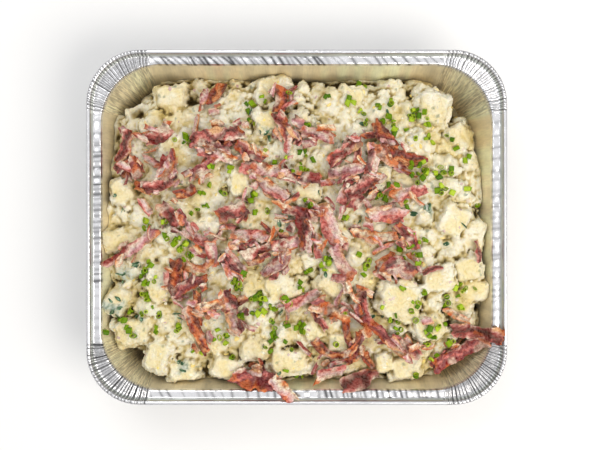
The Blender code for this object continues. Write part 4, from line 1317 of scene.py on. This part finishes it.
def bacon_tints(draw, kind, n, m, aspect):
    """Layers of rind, fat and lean along a strip of n by m places, with fibres, crisp and fatty patches."""
    u = np.linspace(0, 1, n)[:, None] * np.ones((1, m))
    s = np.ones((n, 1)) * np.linspace(-1, 1, m)[None, :]
    fibre = cloud(draw, (n, 3 * m), 1.0)[:, ::3]
    drift = 0.40 * waver(draw, n, 6)[:, None] + 0.12 * waver(draw, n, 2)[:, None]
    slant = math.tan(math.radians(draw.uniform(-24, 24))) * aspect * (2 * u - 1)
    across = 0.78 * s * draw.choice((-1, 1)) + drift + slant + 0.10 * fibre
    places = [place for place, _ in BACON_LAYERS[kind]]
    colours = np.array([linear(colour) for _, colour in BACON_LAYERS[kind]])
    tint = np.stack([np.interp(across, places, colours[:, k]) for k in range(3)], axis=-1)
    spots = cloud(draw, (n, m), 1.2)
    blotch = patchy(draw, n, m, 3.5) + 0.25 * spots
    crisp = patchy(draw, n, m, 3.0) + 0.3 * spots + 0.05 * np.abs(s) ** 4 + 0.8 * np.abs(2 * u - 1) ** 4
    for colour, share, low, high, field in (
        (FAT, 0.7, 0.4, 1.3, blotch), (LEAN_DARK, 0.75, 0.6, 1.5, -blotch),
        (ORANGE, 0.8, 0.9, 1.5, crisp), (BROWN, 0.6, 1.7, 2.4, crisp),
    ):
        tint = mix(tint, linear(colour), share * step(low, high, field))
    return np.clip(tint * (1 + 0.09 * fibre[..., None]) * draw.uniform(*STRIP_BRIGHTNESS), 0, 1)


def strip_rows(draw, x, y, heading, length, width, bend):
    """Plan points of a bent strip with uneven sides and slanting ends, as a grid of rows across it."""
    n = max(10, round(length / BACON_CELL))
    m = max(7, round(width / BACON_CELL))
    u, s = np.linspace(0, 1, n), np.linspace(-1, 1, m)
    from_middle = np.abs(2 * u - 1)
    turn = heading + bend * (u - 0.5) + WANDER * waver(draw, n, 6)
    middle = 0.5 * (turn[1:] + turn[:-1])
    line = np.zeros((n, 2))
    line[1:, 0] = np.cumsum(np.cos(middle)) * length / (n - 1)
    line[1:, 1] = np.cumsum(np.sin(middle)) * length / (n - 1)
    line += np.array((x, y)) - line.mean(axis=0)
    side = np.column_stack([-np.sin(turn), np.cos(turn)])
    ahead = np.column_stack([np.cos(turn), np.sin(turn)])
    taper = 1 - draw.uniform(0.0, MOST_TAPER) * from_middle**3
    halves = []
    for _ in range(2):
        uneven = 1 + 0.13 * waver(draw, n, 5) + 0.07 * waver(draw, n, 1.2)
        halves.append(STRIP_HALF * width * taper * np.clip(uneven, 0.5, 1.4))
    half = np.where(s[None, :] < 0, halves[0][:, None], halves[1][:, None])
    slant = draw.uniform(-MOST_SLANT, MOST_SLANT, 2)
    lean = np.where(u < 0.5, slant[0], slant[1]) * from_middle**2
    twist = draw.uniform(-0.4, 0.4) + 0.5 * waver(draw, n, max(3.0, n / 4))
    most = math.asin(min(0.75, MOST_TWIST_RISE / width))
    twist = np.clip(twist, -most, most)[:, None]
    offset = half * s[None, :]
    rise = offset * np.sin(twist) + half * np.abs(np.sin(twist))
    offset = offset * np.cos(twist)
    torn = np.where(u[:, None] < 0.5, waver(draw, m, 1.2)[None, :], waver(draw, m, 1.2)[None, :])
    further = lean[:, None] * offset + TORN_END * torn * (from_middle**6)[:, None]
    plan = line[:, None, :] + side[:, None, :] * offset[..., None]
    plan += ahead[:, None, :] * further[..., None]
    return plan[..., 0], plan[..., 1], u, s, rise


def lay_strip(draw, ground, px, py, u, s, rise):
    """Heights of a strip's underside, draped on the ground like a stiff wet cloth with curling edges."""
    below = ground.sample(px, py)
    for dx, dy in ((1, 0), (-1, 0), (0, 1), (0, -1)):
        below = np.maximum(below, ground.sample(px + dx * GROUND_CELL, py + dy * GROUND_CELL))
    below = np.maximum(below, below.max() - MOST_FALL) + BACON_GAP
    lie = below.copy()
    for _ in range(SETTLING_STEPS):
        wide = np.pad(lie, 1, mode="edge")
        mean = 0.25 * (wide[2:, 1:-1] + wide[:-2, 1:-1] + wide[1:-1, 2:] + wide[1:-1, :-2])
        lie = np.maximum(below, mean - 0.01 * MM)
    lie += rise
    n, m = lie.shape
    size = min(1.0, n * BACON_CELL / FULL_CURL_LENGTH)
    left, right = draw.uniform(*SIDE_CURL, 2) * size
    sides = np.where(s < 0, left, right)[None, :] * np.abs(s[None, :]) ** 2
    sides = sides * (1 + 0.7 * waver(draw, n, 4)[:, None])
    near, far = draw.uniform(*END_CURL, 2) * size
    ends = (np.where(u < 0.5, near, far) * np.abs(2 * u - 1) ** 5)[:, None]
    ripple = RIPPLE * size * waver(draw, n, 3.5)[:, None] * np.cos(1.6 * s + draw.uniform(0, 3))[None, :]
    crumple = CRUMPLE * cloud(draw, (n, m), 1.6)
    return lie + np.maximum(sides + ends + ripple + 0.3 * MM, 0) + np.maximum(crumple, -0.1 * MM)


def cover(ground, px, py, top):
    """Lifts the ground to a strip's top, at points three times as close as the strip's own."""
    n, m = top.shape
    fine_u, fine_s = np.linspace(0, n - 1, 3 * n), np.linspace(0, m - 1, 3 * m)
    iu, js = np.minimum(fine_u.astype(int), n - 2), np.minimum(fine_s.astype(int), m - 2)
    au, bs = (fine_u - iu)[:, None], (fine_s - js)[None, :]
    dense = []
    for values in (px, py, top):
        rows = values[iu] * (1 - au) + values[iu + 1] * au
        dense.append((rows[:, js] * (1 - bs) + rows[:, js + 1] * bs).ravel())
    ground.raise_to(*dense)


def strip_piece(draw, ground, px, py, u, s, rise, kind):
    """Points, faces and colours of one strip, which is then part of the ground."""
    px = np.clip(px, CAD_BOX[0][0] + BACON_GAP, CAD_BOX[1][0] - BACON_GAP)
    py = np.clip(py, CAD_BOX[0][1] + BACON_GAP, CAD_BOX[1][1] - BACON_GAP)
    lie = lay_strip(draw, ground, px, py, u, s, rise)
    n, m = lie.shape
    tint = bacon_tints(draw, kind, n, m, n / m * 0.5).reshape(-1, 3)
    around = (1 - np.abs(s) ** 8)[None, :] * (1 - np.abs(2 * u - 1) ** 24)[:, None]
    swell = 1 + 0.25 * cloud(draw, (n, m), 1.3) + 0.2 * waver(draw, m, 1.0)[None, :]
    thick = BACON_THICKNESS * np.clip(swell, 0.45, 1.7) * (0.5 + 0.5 * np.sqrt(np.maximum(around, 0)))
    top = np.minimum(lie + thick, CAD_TOP)
    lie = np.minimum(lie, top - LEAST_THICKNESS)
    low = np.column_stack([px.ravel(), py.ravel(), lie.ravel()])
    high = np.column_stack([px.ravel(), py.ravel(), top.ravel()])
    cover(ground, px, py, top)
    # The underside carries the colours a tenth darker, a painted shade
    return np.concatenate([low, high]), slab_faces(n, m), np.concatenate([tint * 0.9, tint])


def bacon_bit(draw, ground, x, y, heading):
    """A torn bit of bacon near a strip."""
    length, width = draw.uniform(*BIT_LENGTHS), draw.uniform(*BIT_WIDTHS)
    kind = draw.choice(BIT_KINDS)
    bend = math.radians(draw.uniform(-50, 50))
    return strip_piece(draw, ground, *strip_rows(draw, x, y, heading, length, width, bend), kind)


def bit_places(draw):
    """Places and headings of torn bits beside the larger strips, clear of the wall."""
    places = []
    for photo_x, photo_y, heading, length, width, _, _ in BACON_STRIPS:
        x, y = tray_point(photo_x, photo_y)
        turn = math.radians(heading)
        for _ in range(BITS_PER_STRIP):
            along = draw.uniform(-0.6, 0.6) * length * MM
            across = draw.choice((-1, 1)) * draw.uniform(0.4, 1.0) * width * MM
            at_x = x + along * math.cos(turn) - across * math.sin(turn)
            at_y = y + along * math.sin(turn) + across * math.cos(turn)
            if wall_room(at_x, at_y, CROWN)[0] > BIT_ROOM:
                places.append((at_x, at_y, turn + math.radians(draw.uniform(-60, 60))))
    return places


def build_bacon(draw, ground, finish):
    """Small strips and half the bits first, then each larger strip on its own, then the other bits."""
    loose = []
    for x0, y0, x1, y1, width, kind in BACON_SCRAPS:
        x, y = tray_point(0.5 * (x0 + x1), 0.5 * (y0 + y1))
        heading = math.atan2(y0 - y1, x1 - x0)
        length = math.hypot(x1 - x0, y1 - y0) * PIXEL_AT_RIM
        bend = math.radians(draw.uniform(-30, 30))
        rows = strip_rows(draw, x, y, heading, length, width * PIXEL_AT_RIM, bend)
        loose.append(strip_piece(draw, ground, *rows, kind))
    bits = bit_places(draw)
    loose += [bacon_bit(draw, ground, *bit) for bit in bits[::2]]
    for number, (photo_x, photo_y, heading, length, width, bend, kind) in enumerate(BACON_STRIPS, 1):
        place, turn = tray_point(photo_x, photo_y), math.radians(heading)
        rows = strip_rows(draw, *place, turn, length * MM, width * MM, math.radians(bend))
        points, faces, colours = strip_piece(draw, ground, *rows, kind)
        name, node = f"bacon_strip_{number:02d}", f"bacon_{number:02d}"
        add_piece(name, points, faces.tolist(), colours, finish, "bacon", node, crease=SHARP)
    loose += [bacon_bit(draw, ground, *bit) for bit in bits[1::2]]
    add_joined("bacon_scraps", loose, finish, "bacon")


def add_joined(name, parts, finish, slot):
    """Many small closed meshes as one piece that lies on the heap."""
    points, faces, colours, start = [], [], [], 0
    for part_points, part_faces, part_colours in parts:
        points.append(part_points)
        faces += [tuple(int(v) + start for v in face) for face in part_faces]
        colours.append(part_colours)
        start += len(part_points)
    points, colours = np.concatenate(points), np.concatenate(colours)
    add_piece(name, points, faces, colours, finish, slot, "potato_salad", crease=SHARP)


def turned(points, normal, spin, lie):
    """Points turned by a spin about Z and a tilt, then set on a normal."""
    base = Vector((0, 0, 1)).rotation_difference(normal).to_matrix()
    turn = base @ Euler((lie, 0, spin), "XYZ").to_matrix()
    return points @ np.array(turn).T


def placed(points, x, y, z):
    """Points moved to a place, and down again where they would stand over the model's top."""
    points = points + np.array((x, y, z))
    points[:, 2] += min(0.0, CAD_TOP - points[:, 2].max())
    return points


def chive_ring(draw, sides):
    """One cut piece of chive: a hollow, slightly flattened tube with one slanting end."""
    radius, length = draw.uniform(*CHIVE_RADII), draw.uniform(*CHIVE_LENGTHS)
    flat = draw.uniform(0.55, 1.0)
    turn = np.arange(sides) * 2 * math.pi / sides
    slant = draw.uniform(-0.5, 0.5)
    rings = []
    for reach, end in ((1, -1), (1, 1), (1 - CHIVE_WALL / radius, 1), (1 - CHIVE_WALL / radius, -1)):
        x, y = radius * reach * np.cos(turn), radius * reach * flat * np.sin(turn)
        rings.append(np.column_stack([x, y, end * length / 2 + slant * x * (end > 0)]))
    other = linear(CHIVE_PALE if draw.random() < 0.35 else CHIVE_DARK)
    outside = linear(CHIVE) + (other - linear(CHIVE)) * draw.uniform(0, 0.8)
    tints = np.concatenate([np.tile(colour, (2 * sides, 1)) for colour in (outside, linear(CHIVE_INSIDE))])
    return np.concatenate(rings), ring_faces(4, sides, closed=True), tints


def build_chives(draw, ground, finish):
    """Cut chives where the photograph shows them, some standing as rings and most lying down."""
    parts = []
    for photo_x, photo_y, reach, count in CHIVE_CLUSTERS:
        for _ in range(count):
            away, turn = reach * math.sqrt(draw.random()), draw.uniform(0, 2 * math.pi)
            x, y = tray_point(photo_x + away * math.cos(turn), photo_y + away * math.sin(turn))
            normal = (ground.slope(x, y) + Vector((0, 0, 0.8))).normalized()
            points, faces, tints = chive_ring(draw, CHIVE_SIDES)
            stands = draw.random() < STANDING_SHARE
            lie = draw.uniform(-0.4, 0.4) if stands else math.pi / 2 + draw.uniform(-0.35, 0.35)
            points = turned(points, normal, draw.uniform(0, 2 * math.pi), lie)
            z = float(ground.sample(x, y)) - points[:, 2].min() - draw.uniform(0.1, 0.6) * MM
            parts.append((placed(points, x, y, z), faces, tints))
    add_joined("chives", parts, finish, "salad")


def wavy_leaf(draw, length, width):
    """A thin wavy bit of leaf, closed, as a grid of two faces."""
    n, m = 9, 6
    u, s = np.meshgrid(np.linspace(-1, 1, n), np.linspace(-1, 1, m), indexing="ij")
    half = np.sqrt(np.maximum(1 - u**2, 0.04)) * (1 + 0.15 * waver(draw, n, 1.2)[:, None])
    wave = 0.35 * MM * cloud(draw, (n, m), 1.4) + 0.5 * MM * np.abs(s)
    x, y = u * length / 2, s * half * width / 2
    low = np.column_stack([x.ravel(), y.ravel(), wave.ravel()])
    high = low + (0, 0, LEAF_THICKNESS)
    dressed = step(-0.4, 1.0, cloud(draw, (n, m), 1.2))
    tint = mix(np.broadcast_to(linear(LEAF), (n, m, 3)), linear(LEAF_PALE), dressed).reshape(-1, 3)
    return np.concatenate([low, high]), slab_faces(n, m), np.concatenate([tint, tint])


def crumb(draw, size, flat):
    """A small uneven lump with twenty sides."""
    golden = (1 + 5**0.5) / 2
    points = np.array([
        (-1, golden, 0), (1, golden, 0), (-1, -golden, 0), (1, -golden, 0),
        (0, -1, golden), (0, 1, golden), (0, -1, -golden), (0, 1, -golden),
        (golden, 0, -1), (golden, 0, 1), (-golden, 0, -1), (-golden, 0, 1),
    ]) / math.hypot(1, golden)
    faces = (
        (0, 11, 5), (0, 5, 1), (0, 1, 7), (0, 7, 10), (0, 10, 11), (1, 5, 9), (5, 11, 4), (11, 10, 2),
        (10, 7, 6), (7, 1, 8), (3, 9, 4), (3, 4, 2), (3, 2, 6), (3, 6, 8), (3, 8, 9), (4, 9, 5), (2, 4, 11),
        (6, 2, 10), (8, 6, 7), (9, 8, 1),
    )
    scale = size * np.array((1, draw.uniform(0.55, 0.9), flat))
    return points * scale * draw.uniform(1 - CRUMB_UNEVEN, 1 + CRUMB_UNEVEN, (12, 1)), faces


def scatter(draw, heap, count, margin):
    """Random places on the heap, clear of the wall."""
    found = []
    while len(found) < count:
        x = draw.uniform(-SCATTER_REACH, SCATTER_REACH) * TRAY_LENGTH
        y = draw.uniform(-SCATTER_REACH, SCATTER_REACH) * TRAY_WIDTH
        z = float(heap.sample(x, y))
        if wall_room(x, y, z)[0] > margin:
            found.append((x, y, z))
    return found


def leaf_places(draw, heap):
    """Places of the herb leaves: a few at each tinted place, kept off the wall, and others anywhere."""
    places = []
    for photo_x, photo_y, reach in HERB_TINTS:
        for _ in range(LEAVES_PER_TINT):
            aside, down = draw.uniform(-0.7, 0.7) * reach, draw.uniform(-0.7, 0.7) * reach
            x, y = tray_point(photo_x + aside, photo_y + down)
            room, way_x, way_y = wall_room(x, y, float(heap.sample(x, y)))
            short = max(LEAF_ROOM - float(room), 0.0)
            x, y = float(x - way_x * short), float(y - way_y * short)
            places.append((x, y, float(heap.sample(x, y))))
    return places + scatter(draw, heap, LOOSE_LEAVES, LOOSE_LEAF_ROOM)


def build_bits(draw, heap, greens, creamy):
    """Leaves of herb, onion bits, egg crumbs and crumbs of potato, all part sunk in the dressing."""
    parts = []
    for x, y, z in leaf_places(draw, heap):
        length, width = draw.uniform(*LEAF_LENGTHS), draw.uniform(*LEAF_WIDTHS)
        points, faces, tints = wavy_leaf(draw, length, width)
        points = turned(points, heap.slope(x, y), draw.uniform(0, 6.3), 0.0)
        parts.append((placed(points, x, y, z + draw.uniform(-0.15, 0.15) * MM), faces, tints))
    add_joined("herb_leaves", parts, greens, "salad")
    for name, count, sizes, flat, colour, sunk in SMALL_BITS:
        parts = []
        for x, y, z in scatter(draw, heap, count, BIT_WALL_ROOM):
            size = draw.uniform(*sizes) * MM
            points, faces = crumb(draw, size, flat)
            points = turned(points, heap.slope(x, y), draw.uniform(0, 6.3), draw.uniform(-0.4, 0.4))
            tint = linear(colour) * draw.uniform(0.85, 1.08)
            tint = np.clip(tint + (linear(CREAM) - tint) * draw.uniform(0, 0.55), 0, 1)
            parts.append((placed(points, x, y, z - sunk * size), faces, np.tile(tint, (len(points), 1))))
        add_joined(name, parts, creamy, "salad")


def light_and_view():
    """A pale floor, soft studio light from above and the camera straight over the tray."""
    scene = bpy.context.scene
    scene.view_settings.view_transform = "Standard"
    camera = bpy.data.objects.new("camera", bpy.data.cameras.new("camera"))
    scene.collection.objects.link(camera)
    camera.location = (
        (PHOTO_CENTRE[0] - PHOTO_TRAY_CENTRE[0]) * PIXEL_AT_RIM,
        (PHOTO_TRAY_CENTRE[1] - PHOTO_CENTRE[1]) * PIXEL_AT_RIM,
        TRAY_HEIGHT + EYE_ABOVE_RIM,
    )
    camera.data.sensor_width = SENSOR
    camera.data.lens = SENSOR * EYE_ABOVE_RIM / (PHOTO_WIDTH * PIXEL_AT_RIM)
    scene.camera = camera
    floor_mesh = bpy.data.meshes.new("floor")
    corners = [(x * FLOOR_HALF, y * FLOOR_HALF, 0) for x, y in ((-1, -1), (1, -1), (1, 1), (-1, 1))]
    floor_mesh.from_pydata(corners, [], [(0, 1, 2, 3)])
    floor_mesh.materials.append(shader("pale_floor", FLOOR_FINISH)[0])
    floor = bpy.data.objects.new("floor", floor_mesh)
    floor.location.z = -FLOOR_DROP
    scene.collection.objects.link(floor)
    world = bpy.data.worlds.new("studio")
    scene.world = world
    world.use_nodes = True
    tree = world.node_tree
    where = add_node(tree, "ShaderNodeTexCoord")
    parts = add_node(tree, "ShaderNodeSeparateXYZ", {"Vector": where.outputs["Generated"]})
    up = ranged(tree, parts.outputs["Z"], 0.0, 0.9, *SKY)
    shade = add_node(tree, "ShaderNodeCombineColor", {"Red": up, "Green": up, "Blue": up})
    tree.links.new(shade.outputs[0], tree.nodes["Background"].inputs["Color"])
    tree.nodes["Background"].inputs["Strength"].default_value = SKY_STRENGTH
    for name, place, size, power, colour in LAMPS:
        lamp = bpy.data.lights.new(name, "AREA")
        lamp.size = size
        lamp.energy = power
        lamp.color = colour
        holder = bpy.data.objects.new(name, lamp)
        holder.location = place
        holder.rotation_euler = (Vector(LAMP_AIM) - Vector(place)).to_track_quat("-Z", "Y").to_euler()
        scene.collection.objects.link(holder)


CAD_TOP = CAD_BOX[1][2] - 0.1 * MM
light_and_view()
build_tray(np.random.default_rng(SEED), foil_material())
heap = Map(HEAP_CELL)
build_heap(np.random.default_rng(SEED + 1), heap, salad_material())
ground = ground_map(heap)
build_bacon(np.random.default_rng(SEED + 2), ground, bacon_material())
greens = small_material("cut_greens", GREEN_FINISH, GREEN_FLECKS, GREEN_SHADE, GREEN_BUMP)
moist = small_material("moist_bits", CRUMB_FINISH, CRUMB_FLECKS, CRUMB_SHADE, CRUMB_BUMP)
build_chives(np.random.default_rng(SEED + 3), ground, greens)
build_bits(np.random.default_rng(SEED + 4), heap, greens, moist)
